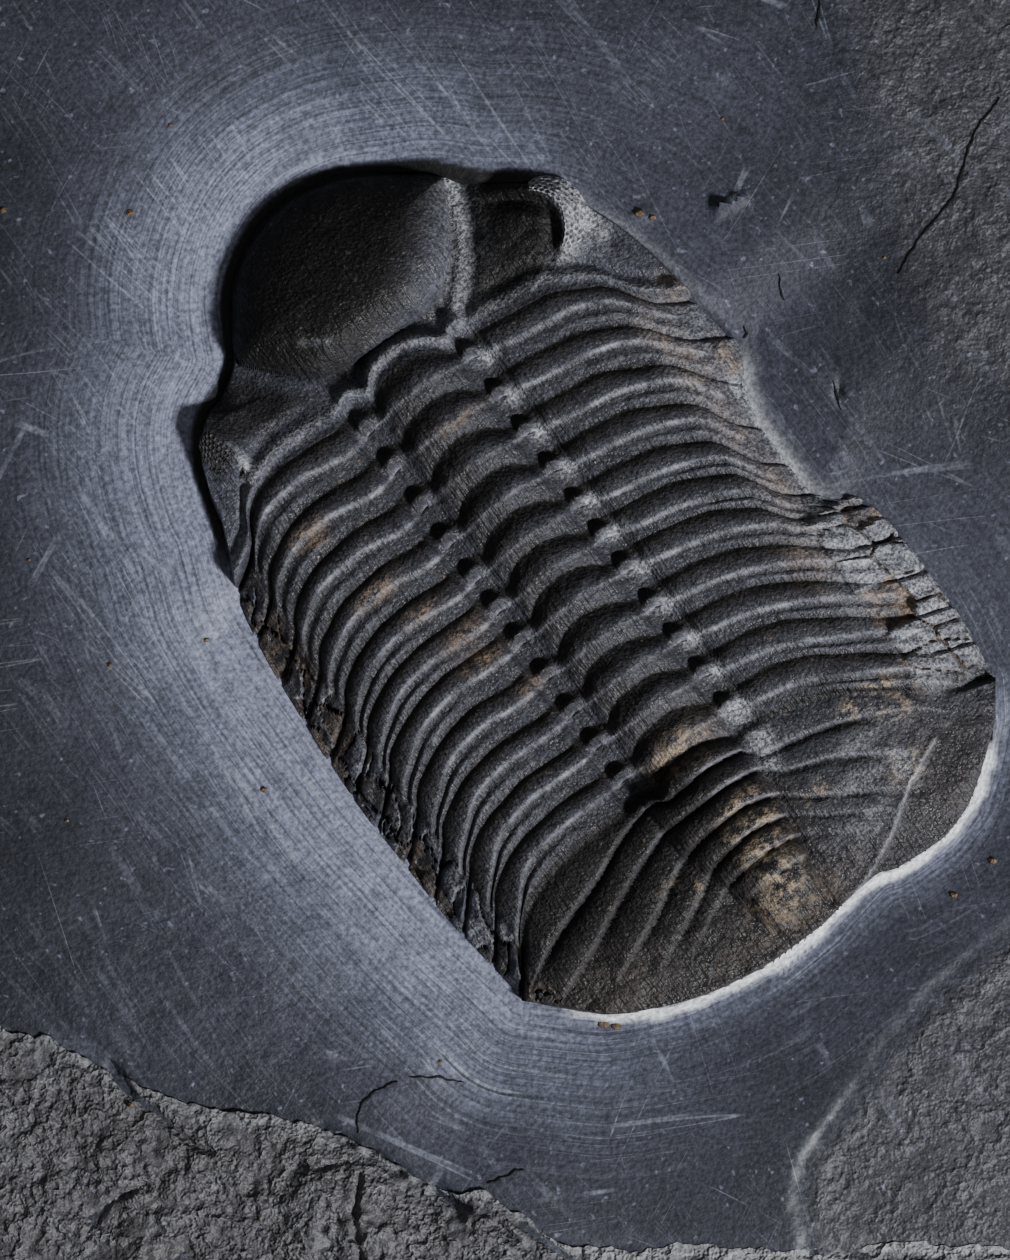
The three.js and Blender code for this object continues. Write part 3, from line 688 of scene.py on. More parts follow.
def bodySkin(places, crests, bands, shades):
    # broken tips, fine roughness and the painted attributes of one part of the body; the attributes
    # hold the shell's own colours and also painted highlight and painted shade
    u, v, z = places[..., 0], places[..., 1], places[..., 2].copy()
    inner = np.minimum(smooth(0, 5, 300 - np.abs(columns))[None, :], 1) * np.ones(u.shape)
    marks = {"crest": crests, "band": bands}
    marks["tan"], marks["gold"] = patches(u, v, tanSpots), patches(u, v, goldSpots)
    # on the tail the gold is kept to the crests: pyrite, brightened as painted highlight where the
    # crests face the lamp
    marks["gold"] = marks["gold"] * np.where(u > 745,
                                             np.clip(0.55 + 1.8 * np.asarray(crests), 0, 1), 1)
    marks["pale"] = patches(u, v, paleSpots)
    marks["dark"] = np.maximum(patches(u, v, darkSpots), shades)
    # the glabella painted black on its front and left and lighter towards its rear right: partly
    # the shell's own dark colour, partly painted shade on the side turned from the lamp
    glabella = insideOutline(glabellaOutline, u, v) | (u < 100)
    raiseMark(marks, "dark", np.where(glabella, 1 - smooth(-36, 24, u - glabellaFade(v)), 0))
    raiseMark(marks, "band", np.where(glabella, smooth(-20, 40, u - glabellaFade(v)), 0))
    # the right cheek inside the eye's crest painted black: partly dark shell, partly painted shade
    cheekGap, _ = nearestOnLine(darkCheek, u, v, closed=True)
    inCheek = insideOutline(darkCheek, u, v)
    raiseMark(marks, "dark", np.where(inCheek, 1, bump(cheekGap, 5)))
    strip, _ = nearestOnLine(glabellaFlank, u, v)
    groove, _ = nearestOnLine(cheekGroove, u, v)
    headRear = np.interp(v, thoraxPlaces[0][:, 1], thoraxPlaces[0][:, 0])
    rearBand = smooth(0, 24, u + 0.12 * np.abs(v) - 200 - 46 * smooth(70, 110, v))
    rearBand = rearBand * (u < headRear + 1) * smooth(-2, 8, headRear - u)
    # painted highlight: a pale line on the groove wall along the glabella's right flank, which
    # faces the lamp
    raiseMark(marks, "pale",
              (0.85 - 0.5 * smooth(120, 190, u)) * bump(strip, 5) + 0.22 * bump(strip, 20))
    marks["dark"] = marks["dark"] * (1 - bump(strip, 7)) * (1 - 0.8 * bump(groove, 9))
    marks["dark"] = marks["dark"] * (1 - 0.8 * rearBand)
    raiseMark(marks, "band", np.maximum(bump(groove, 12), rearBand))
    raiseMark(marks, "pale", 0.3 * bump(headRear - u - 17, 7) * (u > 190))
    wander = 9 * np.sin(u * 0.071 + 1.2) + 6 * np.sin(v * 0.19 + u * 0.033)
    ragged = 9 * gridField(u, v, 22.0, 1.9, 3)
    onLeft = smooth(-250, -262, v + ragged) * smooth(300, 330, u) * (1 - smooth(828, 850, u))
    gap, value, du, dv = brokenCells(u + 0.9 * v + wander + ragged, v + 0.5 * wander - ragged,
                                     37.0, 29.0, 3.0)
    plate = (value - 0.5) * 0.8 + 1.5 * (value - 0.35) * du + 0.8 * dv
    plate = plate - 0.9 * (1 - smooth(0.02, 0.13, gap)) * (value > 0.3)
    z = z + onLeft * inner * plate * 0.6
    # painted shade in the slots between the broken plates, and painted highlight on each plate's
    # rear side, which faces the lamp
    raiseMark(marks, "dark", onLeft * (1 - smooth(0.02, 0.08, gap)) * (value > 0.3))
    raiseMark(marks, "tan", onLeft * 0.22 * (value < 0.35))
    raiseMark(marks, "pale", onLeft * 0.3 * smooth(0.1, 0.5, du) * (value > 0.45))
    raiseMark(marks, "band", onLeft * 0.9 * (value > 0.6))
    onRight = smooth(218, 236, v) * smooth(575, 600, u)
    onRight = onRight * (1 - smooth(770, 812, u - 0.3 * (v - 230)))
    gap, value, du, dv = brokenCells(u - 0.42 * v, v, 30.0, 38.0, 11.0)
    flake = smooth(0.34, 0.36, value) * smooth(0.02, 0.1, gap)
    z = z + onRight * inner * ((flake - 0.5) * 0.5 + 0.3 * (value - 0.5)
                               + 0.35 * du * (value - 0.5))
    raiseMark(marks, "pale", onRight * flake * (0.25 + 0.45 * value))
    raiseMark(marks, "tan", onRight * (1 - flake) * 0.8)
    for spotU, spotV, lengthU, lengthV, rise in ((325, 262, 16, 9, 0.45), (410, 262, 20, 8, 0.5),
                                                 (604, 272, 9, 7, -1.0), (470, -35, 3, 3, 0.2),
                                                 (270, -50, 4, 4, -0.4),
                                                 (585, 262, 8, 6, -0.8)):
        z = z + rise * bump(np.hypot((u - spotU) / lengthU, (v - spotV) / lengthV), 1.0) * inner
    # painted light on the outer right flank, which faces the lamp
    outerRight = smooth(192, 222, v) * smooth(300, 340, u) * (1 - smooth(690, 730, u))
    raiseMark(marks, "band", outerRight * 0.9)
    raiseMark(marks, "pale", outerRight * 0.16)
    # painted highlight on the steep right flank
    steepFlank = 0.6 * smooth(245, 251, v) * smooth(418, 440, u) * (1 - smooth(560, 585, u))
    raiseMark(marks, "pale", steepFlank)
    # painted highlight: a pale spot in the right furrow before each segment; painted shadow: a dark
    # spot on the headward side of each knob
    for start in segmentStations[1:]:
        raiseMark(marks, "pale", bump(np.hypot((u - start + 3) / 7, (v - 69) / 10), 1.0))
        raiseMark(marks, "dark", 0.9 * bump(np.hypot((u - start - 15) / 8, (v + 71) / 8), 1.0))
        raiseMark(marks, "dark", 0.9 * bump(np.hypot((u - start - 19) / 8, (v - 60) / 8), 1.0))
    # painted shade on the front of each axial ring, which is turned from the lamp
    ringDark = smooth(-52, -40, v) * (1 - smooth(36, 46, v))
    for start in segmentStations[:-1]:
        raiseMark(marks, "dark", 0.6 * ringDark * bump((u - start - 9 - 0.006 * v * v) / 9, 1.0))
    x, y = toSlab(u, v)
    points = np.stack([x.ravel(), y.ravel(), z.ravel() * 0.5], 1)
    roughSkin = grainField(points, 1.4, 3.1, 4).reshape(z.shape)
    tipRough = smooth(235, 270, np.abs(v)) * smooth(280, 330, u)
    facet = insideOutline(facetOutline, u, v)
    amount = ts["roughness"] * (1 + 1.2 * smooth(790, 860, u) * (1 - 0.8 * facet) + 3.2 * tipRough)
    marks["tan"] = marks["tan"] * (1 - 0.8 * facet)
    hatch = gridField(0.16 * u, v, 5.0, 7.7, 3)
    onRings = smooth(-52, -44, v) * (1 - smooth(38, 46, v)) * (1 - 0.5 * smooth(700, 760, u))
    slant = gridField(u + 1.1 * v, 0.3 * (u - 0.9 * v), 5.5, 2.9, 3)
    z = z + (0.03 * hatch + 0.09 * slant * onRings) * inner * smooth(205, 240, u)
    crumbs = grainField(points, 0.8, 5.3, 3).reshape(z.shape)
    z = z + 0.16 * crumbs * patches(u, v, goldSpots) * inner
    z = z + roughSkin * amount * inner
    return np.stack([x, y, z], axis=2), marks


def makeBodyPiece(name, places, crests, bands, shades):
    spots, marks = bodySkin(places, crests, bands, shades)
    piece, order = addGrid(name, spots.shape[1], spots.shape[0])
    shapeGrid(piece, order, spots)
    for key, values in marks.items():
        paintPoints(piece, key, order, np.clip(values, 0, 1))
    closeBelow(piece, [(ts["skirtFloor"], 0)])
    smoothShade(piece, 50)
    print("stage:", name, len(piece.data.polygons))
    return piece


plain = np.zeros(headPlaces.shape[:2])
headPiece = makeBodyPiece("head_shield", headPlaces, plain, plain + 0.3, plain)
thoraxPiece = makeBodyPiece("thorax", thoraxPlaces, np.array(thoraxCrests), np.array(thoraxBands),
                            np.array(thoraxShades))
# band paint on the tail grows towards its right side: painted light on the side turned to the lamp
tailBands = np.where(tailOuter, 0.3,
                     0.05 + 0.5 * smooth(20, 90, tailUV[..., 1]) * (1 - 0.5 * tailRing))
tailPiece = makeBodyPiece("tail_shield", tailPlaces, tailCrests, tailBands, tailShades)


def makeLenses(name, crestLine, side, outerWidth, reachAlong):
    # the curved field of lenses of one eye, each lens a small pit with a raised rim
    crestLine = np.array(crestLine, float)
    count = es["lensColumns"]
    along = np.linspace(reachAlong[0], reachAlong[1], count)
    outward = np.linspace(0.04, 0.92, es["lensRows"])
    lengths = lengthsAlong(crestLine)
    at = along * lengths[-1]
    u0, v0 = np.interp(at, lengths, crestLine[:, 0]), np.interp(at, lengths, crestLine[:, 1])
    kernel = np.ones(31) / 31
    u0 = np.convolve(np.pad(u0, 15, mode="edge"), kernel, mode="valid")
    v0 = np.convolve(np.pad(v0, 15, mode="edge"), kernel, mode="valid")
    du, dv = np.gradient(u0), np.gradient(v0)
    size = np.hypot(du, dv)
    normalU, normalV = -dv / size * side, du / size * side
    width = outerWidth * np.sin(np.clip((along - reachAlong[0]) / (reachAlong[1] - reachAlong[0]),
                                        0.03, 0.97) * math.pi) ** 0.4
    u = u0[None, :] + outward[:, None] * width[None, :] * normalU[None, :]
    v = v0[None, :] + outward[:, None] * width[None, :] * normalV[None, :]
    frontEdge = thoraxPlaces[0][:, 0]
    rearEdge = np.interp(v, thoraxPlaces[0][:, 1], frontEdge)
    z = headHeight(u, v, rearEdge)
    rowGap = outward[:, None] * outerWidth / (es["lensPitch"] * 0.9)
    runGap = (at[None, :] / es["lensPitch"]) + 0.5 * np.mod(np.round(rowGap), 2)
    offsetU = (runGap - np.round(runGap)) * es["lensPitch"]
    offsetV = (rowGap - np.round(rowGap)) * es["lensPitch"] * 0.9
    pit = bump(np.hypot(offsetU, offsetV), es["lensPitch"] * 0.3)
    edge = smooth(0, 0.1, outward)[:, None] * smooth(0, 0.12, 1 - outward / 0.92)[:, None]
    edge = edge * (smooth(0, 10, np.arange(count))
                   * smooth(0, 10, count - 1 - np.arange(count)))[None, :]
    z = z - 0.12 + edge * (0.22 - es["lensDepth"] * pit)
    x, y = toSlab(u, v)
    piece, order = addGrid(name, count, es["lensRows"])
    shapeGrid(piece, order, np.stack([x, y, z], axis=2))
    # the right eye's lens field painted pale as painted highlight, since it faces the lamp, the
    # left one kept dark as painted shade; the pits painted darker as painted shade in each hollow
    paintPoints(piece, "pale", order, np.clip((1.0 if side > 0 else 0.07) * (1 - 0.8 * pit), 0, 1))
    paintPoints(piece, "dark", order, pit * (0.7 if side > 0 else 0.3))
    for key in ("crest", "band", "tan", "gold"):
        paintPoints(piece, key, order, np.zeros(z.shape))
    closeBelow(piece, [(es["skirtFloor"], 0)])
    smoothShade(piece, 60)
    return piece


rightLenses = makeLenses("right_eye_lenses", rightCrest, 1, 30, (0.34, 0.97))
leftLenses = makeLenses("left_eye_lenses", leftCrest, -1, 38, (0.3, 0.95))
print("stage: eyes made")


# the slab

slabSettings = {
    "width": 104.0,
    "length": 126.0,
    "top": 15.2,
    "moatFloor": 11.9,
    "moatReach": 13.0,
    "moatCurve": 1.3,
    "tailLedge": 13.0,
    "columnCount": 280,
    "rowCount": 322,
    "roughLayerTop": 15.72,
}
ss = slabSettings


def spot(across, down):
    # a place given in the 1010 by 1260 field that the camera sees
    return (across - 505) * step + shift[0], (630 - down) * step + shift[1]


roughLedge = [(-119, 985), (-60, 1004), (0, 1025), (70, 1050), (130, 1080), (200, 1105),
              (262, 1113), (350, 1142), (398, 1168), (440, 1184), (482, 1192), (520, 1216),
              (560, 1238), (600, 1246), (700, 1243), (800, 1250), (900, 1243), (1000, 1247),
              (1129, 1252)]
lowerLedge = [(786, 1400), (790, 1260), (797, 1240), (787, 1208), (790, 1180), (800, 1152),
              (815, 1130), (838, 1100), (860, 1070), (878, 1040), (905, 1010), (925, 985),
              (950, 965), (1000, 925), (1060, 880), (1200, 800)]
lowerCorner = np.array(lowerLedge + [(1300, 800), (1300, 1500), (786, 1500)], float)
ledgeGaps = [([(322, 1127), (352, 1144)], 0.9, 4), ([(370, 1154), (402, 1173)], 1.0, 4),
             ([(436, 1186), (468, 1207)], 1.0, 4),
             ([(496, 1222), (515, 1237)], 0.9, 4), ([(112, 1062), (134, 1090)], 0.7, 4)]
crackLines = [[(359, 1133), (358, 1118), (364, 1102), (377, 1090), (398, 1081)],
              [(410, 1077), (440, 1078), (465, 1084)],
              [(998, 100), (985, 118), (973, 133), (966, 155), (961, 175), (952, 200), (938, 217),
               (923, 233), (908, 256), (898, 275)],
              [(779, 274), (781, 286), (785, 300)], [(818, 0), (819, 12), (815, 30)],
              [(834, 380), (838, 398), (843, 410)],
              [(745, 325), (748, 332), (746, 337)], [(488, 1183), (500, 1178), (524, 1168)]]
lumps = [(724, 205, 9, 5, 0.95), (739, 198, 6, 6, 0.7), (717, 210, 5, 6, 0.6),
         (840, 388, 5, 9, -0.45), (640, 215, 12, 7, 0.3), (300, 690, 7, 14, -0.15),
         (893, 873, 5, 4, -0.4), (230, 605, 16, 34, -0.22), (470, 1120, 46, 36, -0.22),
         (845, 560, 6, 10, -0.2), (760, 330, 4, 10, -0.12)]


def slabOutline(inset, turn, count=30):
    points = []
    for i in range(count):
        angle = i / count * math.pi * 2
        across = math.copysign(abs(math.cos(angle)) ** 0.3, math.cos(angle))
        along = math.copysign(abs(math.sin(angle)) ** 0.3, math.sin(angle))
        chip = inset + 1.5 * (1 + math.sin(i * 2.4 + turn) * math.cos(i * 1.1 + turn * 2))
        points.append((across * (ss["width"] / 2 - chip) + shift[0],
                       along * (ss["length"] / 2 - chip) + shift[1]))
    return np.array(points)


def slateHeight(x, y):
    gap, along = nearestOnLine(rim[::3], x, y, closed=True)
    inside = insideOutline(rim[::3], x, y)
    rise = 1 - np.exp(-((gap / ss["moatReach"]) ** ss["moatCurve"]))
    px, py = x - shift[0], y - shift[1]
    wave = 0.12 * np.sin(px * 0.31 + 1.3) * np.sin(py * 0.23 + 0.4)
    u, v = toBody(x, y)
    besideRight = smooth(95, 150, v) * (1 - smooth(330, 420, u))
    besideLeft = smooth(140, 185, -v) * (1 - smooth(280, 350, u))
    floor = ss["moatFloor"] + 1.5 * besideRight + 0.9 * besideLeft
    height = floor + (ss["top"] - floor) * rise + wave * rise
    across, down = px / step + 505, 630 - py / step
    below = insideOutline(lowerCorner, across, down)
    fromLedge, _ = nearestOnLine(lowerLedge, across, down)
    height = height - np.where(below,
                               (0.12 + 0.2 * smooth(1060, 1150, down)) * smooth(0, 7, fromLedge), 0)
    fromRough, _ = nearestOnLine(roughLedge, across, down)
    height = height - 0.12 * bump(fromRough, 6)
    for line, depth, width in ledgeGaps:
        fromGap, _ = nearestOnLine(line, across, down)
        height = height - depth * bump(fromGap, width)
    for spotX, spotY, sizeX, sizeY, raised in lumps:
        height = height + raised * bump(np.hypot((across - spotX) / sizeX, (down - spotY) / sizeY),
                                        1.0)
    # flank under the rear edge of the tail shield
    tail = smooth(820, 870, u) * (1 - smooth(225, 300, np.abs(v - 10)) * 0.5)
    flank = ss["tailLedge"] - gap * 1.05
    height = np.where(tail > 0, np.maximum(height, height * (1 - tail) + flank * tail), height)
    height = np.where(inside, height - 1.2 * smooth(0.1, 0.8, gap), height)
    return height, gap, along, inside


slabPiece, slabOrder = addGrid("slate_bed", ss["columnCount"], ss["rowCount"])


def spacing(count, share):
    # closer lines inside the field that is seen, wider ones in the margin
    t = np.linspace(-1, 1, count)
    return np.sign(t) * np.where(np.abs(t) < 0.9, np.abs(t) / 0.9 * share,
                                 share + (np.abs(t) - 0.9) / 0.1 * (1 - share))


sx, sy = np.meshgrid(spacing(ss["columnCount"], 0.83), spacing(ss["rowCount"], 0.86))
angle = np.arctan2(sy, sx)
squareReach = 1 / np.maximum(np.abs(np.cos(angle)), np.abs(np.sin(angle)))
share = np.hypot(sx, sy) / squareReach
topOutline = slabOutline(0.3, 4.4) - np.array(shift)


def outlineReach(angle):
    return 1 / np.maximum(polarShare(topOutline, np.zeros(2), np.cos(angle), np.sin(angle)), 1e-9)


reach = outlineReach(angle) * share
slabX, slabY = np.cos(angle) * reach + shift[0], np.sin(angle) * reach + shift[1]
slabZ, slabGap, slabAlong, _ = slateHeight(slabX, slabY)
across, down = (slabX - shift[0]) / step + 505, 630 - (slabY - shift[1]) / step
upperRight = smooth(700, 880, across - 0.3 * down) * (1 - smooth(330, 520, down))
lowerRight = insideOutline(lowerCorner, across, down)
fromLedge, _ = nearestOnLine(lowerLedge, across, down)
lowerRightShare = np.where(lowerRight, 0.72 * smooth(0, 30, fromLedge), 0)
natural = np.maximum(np.maximum(0.68 * upperRight, lowerRightShare), 0.25 * smooth(12, 30, slabGap))
natural = np.maximum(natural, 0.5 * smooth(1010, 1060, across))
natural = np.maximum(natural,
        0.46 * smooth(880, 1010, down + 0.35 * across) * (1 - smooth(230, 420, across)))
coarse = gridField(slabX, slabY, 7.0, 8.2, 6)
fine = gridField(slabX, slabY, 1.3, 4.6, 3)
slabZ = slabZ + coarse * (0.03 + 0.22 * natural) + fine * (0.008 + 0.05 * natural)
shapeGrid(slabPiece, slabOrder, np.stack([slabX, slabY, slabZ], axis=2))
paintPoints(slabPiece, "natural", slabOrder, natural)
# the pale halo round the fossil: scratched stone, made strongest on the left, whose slope faces the
# lamp, as painted light, and weak on the right, whose slope is turned away
fromMiddle = np.maximum(np.hypot(across - 560, down - 600), 1)
facing = ((across - 560) * -0.86 + (down - 600) * 0.1) / fromMiddle
halo = np.exp(-(slabGap / 9.2) ** 1.7) * (0.1 + 0.9 * smooth(-0.3, 0.5, facing))
uTail, vTail = toBody(slabX, slabY)
# in front of the head the halo is taken away and the slate painted dark: painted shadow cast by the
# head
atHead = 1 - smooth(230, 320, uTail + 0.5 * np.maximum(vTail, 0))
halo = halo * (1 - 0.93 * atHead * (1 - smooth(0.6, 1.05, slabGap)))
halo = np.maximum(halo, 0.5 * np.exp(-(slabGap / 3.0) ** 2) * smooth(800, 860, uTail))
headShade = atHead * (1 - smooth(0.55, 0.95, slabGap))
halo = np.maximum(halo, 0.22 * bump(np.hypot((across - 420) / 330, (down - 90) / 90), 1.0))
# white flank under the tail's rear edge and thin lines along the right edge, by the right eye and
# on the ledges: partly scraped stone, partly painted highlight on faces turned to the lamp
flankWidth = 0.55 + 0.22 * np.sin(slabAlong * 0.55 + 0.6) + 0.12 * np.sin(slabAlong * 1.7)
scrapedAndLit = smooth(800, 850, uTail) * (1 - smooth(flankWidth, flankWidth + 0.5, slabGap))
scrapedAndLit = scrapedAndLit * (1 - smooth(235, 262, np.abs(vTail)))
rightEdge = smooth(400, 440, uTail) * (1 - smooth(540, 600, uTail)) * (vTail > 0)
rightEdge = rightEdge * np.exp(-(slabGap / 0.8) ** 2)
eyeEdge = smooth(150, 200, uTail) * (1 - smooth(330, 390, uTail)) * (vTail > 0)
eyeEdge = eyeEdge * np.exp(-(slabGap / 0.6) ** 2)
broken = np.clip(0.55 + 1.4 * fine, 0.1, 1.2)
ledgeLight = np.where(lowerRight, 0.1 * bump(fromLedge - 3, 6) + 0.06 * bump(fromLedge, 50),
                      0.03 * bump(fromLedge, 12))
ledgeLight = ledgeLight * broken * (0.25 + 0.75 * smooth(1030, 1130, down))
scrapedAndLit = np.maximum(np.maximum(scrapedAndLit, 0.55 * rightEdge), np.maximum(0.14 * eyeEdge, ledgeLight))
paintPoints(slabPiece, "halo", slabOrder, np.clip(halo, 0, 1))
paintPoints(slabPiece, "scrapedAndLit", slabOrder, np.clip(scrapedAndLit, 0, 1))
paintPoints(slabPiece, "dark", slabOrder, headShade)
paintPoints(slabPiece, "sweep", slabOrder, smooth(640, 760, uTail) * (1 - smooth(10, 16, slabGap)))


def bedInset(turn, amount):
    def read(x, y):
        return amount * (0.6 + 0.4 * math.sin(math.atan2(y, x) * 7 + turn))
    return read


def layScrapeMap(piece, order, along, gap):
    # second coordinates: the way round the fossil and the way out from it, in metres
    spots = np.zeros((len(piece.data.vertices), 2))
    spots[order.ravel(), 0] = along.ravel() * mm
    spots[order.ravel(), 1] = gap.ravel() * mm
    layer = piece.data.uv_layers.new(name="scrape")
    corners = np.empty(len(piece.data.loops), int)
    piece.data.loops.foreach_get("vertex_index", corners)
    layer.data.foreach_set("uv", spots[corners].ravel())


closeBelow(slabPiece, [(10.4, 0), (10.3, bedInset(1, 0.7)), (5.3, 0), (5.2, bedInset(3, -0.6)),
                       (0, 0)])
layScrapeMap(slabPiece, slabOrder, slabAlong, slabGap)
smoothShade(slabPiece, 40)
print("stage: slab shaped", len(slabPiece.data.polygons))

roughSettings = {
    "columnCount": 430,
    "rowCount": 96,
    "terrace": 0.3,          # millimetres from one bedding step to the next
    "bumps": 0.55,
    "lowest": 13.6,
    "highest": 17.2,
    "skirtFloor": 12.5,
    "crackDepth": 0.6,
}
rs = roughSettings


roughCracks = [[(112, 1066), (128, 1088), (160, 1112), (192, 1142), (215, 1150)],
               [(360, 1172), (355, 1215), (362, 1258)],
               [(440, 1192), (452, 1200), (462, 1214)], [(300, 1160), (318, 1166), (345, 1160)],
               [(90, 1230), (110, 1200), (150, 1180)],
               [(520, 1222), (560, 1250), (575, 1262)]]


def makeRoughLayer():
    # the broken bed that lies on the slab along its lower edge
    ledge = np.array([spot(*p) for p in roughLedge]) - np.array(shift)
    start = math.atan2(ledge[0][1], ledge[0][0]) + 2 * math.pi
    end = math.atan2(ledge[-1][1], ledge[-1][0]) + 2 * math.pi
    run = np.linspace(0.004, 0.996, rs["columnCount"])
    turn = start + run * (end - start)
    outer = np.stack([np.cos(turn), np.sin(turn)], 1) * (outlineReach(turn) * 0.997)[:, None]
    lengths = lengthsAlong(ledge)
    target = run * lengths[-1]
    inner = np.stack([np.interp(target, lengths, ledge[:, 0]),
                      np.interp(target, lengths, ledge[:, 1])], 1)
    jagged = gridField(target, 0 * target, 3.0, 5.5, 5)
    inner[:, 1] += 0.8 * jagged
    depth = (np.linspace(0, 1, rs["rowCount"]) ** 1.15)[:, None, None]
    place = inner[None] * (1 - depth) + outer[None] * depth
    x, y = place[..., 0] + shift[0], place[..., 1] + shift[1]
    broad, small = gridField(x, y, 11.0, 2.7, 5), gridField(x, y, 2.4, 6.1, 5)
    level = (broad * 1.1 + 0.25 * small) / rs["terrace"]
    stepped = (np.floor(level) + smooth(0.35, 0.65, level - np.floor(level))) * rs["terrace"]
    tiny = gridField(x, y, 0.9, 9.4, 3)
    away = smooth(540, 620, (x - shift[0]) / step + 505)
    inward = smooth(0, 0.3, depth[..., 0] - 0.13 * away)
    foot = slateHeight(x, y)[0] + 0.26 - 0.18 * away
    z = foot * (1 - inward) + ss["roughLayerTop"] * inward
    z = z + (0.6 * stepped + rs["bumps"] * 0.6 * small) * (0.2 - 0.17 * away
            + (0.8 + 0.17 * away) * inward) + (0.16 - 0.13 * away * (1 - inward)) * tiny
    px, py = (x - shift[0]) / step + 505, 630 - (y - shift[1]) / step
    for line in roughCracks:
        fromCrack, _ = nearestOnLine(line, px, py)
        z = z - rs["crackDepth"] * bump(fromCrack, 3.5)
    z = np.clip(z, rs["lowest"], rs["highest"])
    piece, order = addGrid("rough_layer", rs["columnCount"], rs["rowCount"])
    shapeGrid(piece, order, np.stack([x, y, z], axis=2))
    paintPoints(piece, "natural", order, np.ones(x.shape))
    paintPoints(piece, "halo", order, np.zeros(x.shape))
    # a pale line along the bed's broken edge: painted highlight on the edge that faces the lamp
    paintPoints(piece, "scrapedAndLit", order,
            (0.14 + 0.16 * away) * bump(depth[..., 0] - 0.015 - 0.03 * away, 0.03 + 0.05 * away))
    layScrapeMap(piece, order, x, y)
    closeBelow(piece, [(rs["skirtFloor"], 0)])
    smoothShade(piece, 35)
    return piece


roughPiece = makeRoughLayer()
print("stage: rough layer made", len(roughPiece.data.polygons))

grainSpots = [(130, 212, 5), (110, 665, 4), (263, 790, 5), (205, 640, 4), (995, 862, 6),
              (5, 212, 5), (170, 125, 3), (956, 896, 5), (604, 1026, 7), (617, 1029, 6),
              (640, 213, 6), (652, 217, 5), (722, 120, 3), (884, 258, 3), (68, 820, 3),
              (440, 1062, 3), (30, 560, 3), (890, 645, 4), (133, 1102, 4)]


def makeGrains():
    # little rusty pyrite lumps that stick out of the slate
    made = []
    for number, (spotX, spotY, size) in enumerate(grainSpots):
        x, y = spot(spotX, spotY)
        height = slateHeight(np.array([x]), np.array([y]))[0][0]
        if spotY > 1080 and spotX < 300:
            height = ss["roughLayerTop"]
        deselectAll()
        bpy.ops.mesh.primitive_ico_sphere_add(subdivisions=3, radius=1, location=(0, 0, 0))
        grain = bpy.context.active_object
        for vertex in grain.data.vertices:
            lumpy = 1 + 0.35 * noise.noise(vertex.co * 1.7 + Vector((number * 3.1, 0, 0)))
            reach = size * step * lumpy * 0.75
            vertex.co = Vector((x + vertex.co.x * reach, y + vertex.co.y * reach * 0.8,
                                height + vertex.co.z * reach * 0.6)) * mm
        made.append(grain)
    deselectAll()
    for grain in made:
        grain.select_set(True)
    bpy.context.view_layer.objects.active = made[0]
    bpy.ops.object.join()
    made[0].name = "pyrite_grains"
    smoothShade(made[0], 60)
    return made[0]


grainPiece = makeGrains()
print("stage: grains made")


crackSettings = {
    "shade": (0.004, 0.004, 0.005),
    "lighter": (0.012, 0.012, 0.014),
    "thickness": 0.00012,    # metres
    "lift": 0.025,           # millimetres above the slate
}


def makeFineCracks():
    # the shade in hair cracks, laid as thin strips of painted shade on the slab's surface
    made = []
    bpy.context.view_layer.update()
    for number, line in enumerate(crackLines):
        line = np.array(line, float)
        lengths = lengthsAlong(line)
        count = max(int(lengths[-1] / 1.6), 6)
        at = np.linspace(0, lengths[-1], count)
        across, down = np.interp(at, lengths, line[:, 0]), np.interp(at, lengths, line[:, 1])
        jag = gridField(at, 0 * at + number * 9, 9.0, 2.2, 4)
        du, dv = np.gradient(across), np.gradient(down)
        size = np.hypot(du, dv)
        sideX, sideY = -dv / size, du / size
        taper = np.sin(np.linspace(0.12, math.pi - 0.12, count)) ** 0.5
        half = (0.62 + 0.35 * np.sin(at * 0.21 + number)) * taper
        places = np.zeros((2, count, 3))
        for row, way in enumerate((-1, 1)):
            x, y = spot(across + sideX * (1.6 * jag + way * half),
                        down + sideY * (1.6 * jag + way * half))
            for k in range(count):
                _, place, _, _ = slabPiece.ray_cast(Vector((x[k] * mm, y[k] * mm, 0.03)),
                                                    Vector((0, 0, -1)))
                places[row, k] = x[k], y[k], place.z / mm + crackSettings["lift"]
        piece, order = addGrid("fine_cracks", count, 2)
        shapeGrid(piece, order, places)
        made.append(piece)
    deselectAll()
    for piece in made:
        piece.select_set(True)
    bpy.context.view_layer.objects.active = made[0]
    bpy.ops.object.join()
    bpy.ops.object.modifier_add(type="SOLIDIFY")
    made[0].modifiers[-1].thickness = crackSettings["thickness"]
    made[0].modifiers[-1].offset = -1
    bpy.ops.object.modifier_apply(modifier=made[0].modifiers[-1].name)
    made[0].name = "fine_cracks"
    return made[0]


crackPiece = makeFineCracks()
print("stage: cracks laid")


# materials

def newMaterial(name):
    # a material, its node tree and its shader
    material = bpy.data.materials.new(name)
    material.use_nodes = True
    return material, material.node_tree, material.node_tree.nodes["Principled BSDF"]


def feed(tree, value, socket):
    # a socket takes a plain value, or a link from another socket
    if isinstance(value, bpy.types.NodeSocket):
        tree.links.new(value, socket)
    else:
        socket.default_value = value


def noiseNode(tree, vector, scale, detail=4.0, rough=0.55):
    made = tree.nodes.new("ShaderNodeTexNoise")
    for key, value in (("Vector", vector), ("Scale", scale), ("Detail", detail),
                       ("Roughness", rough)):
        feed(tree, value, made.inputs[key])
    return made.outputs["Fac"]


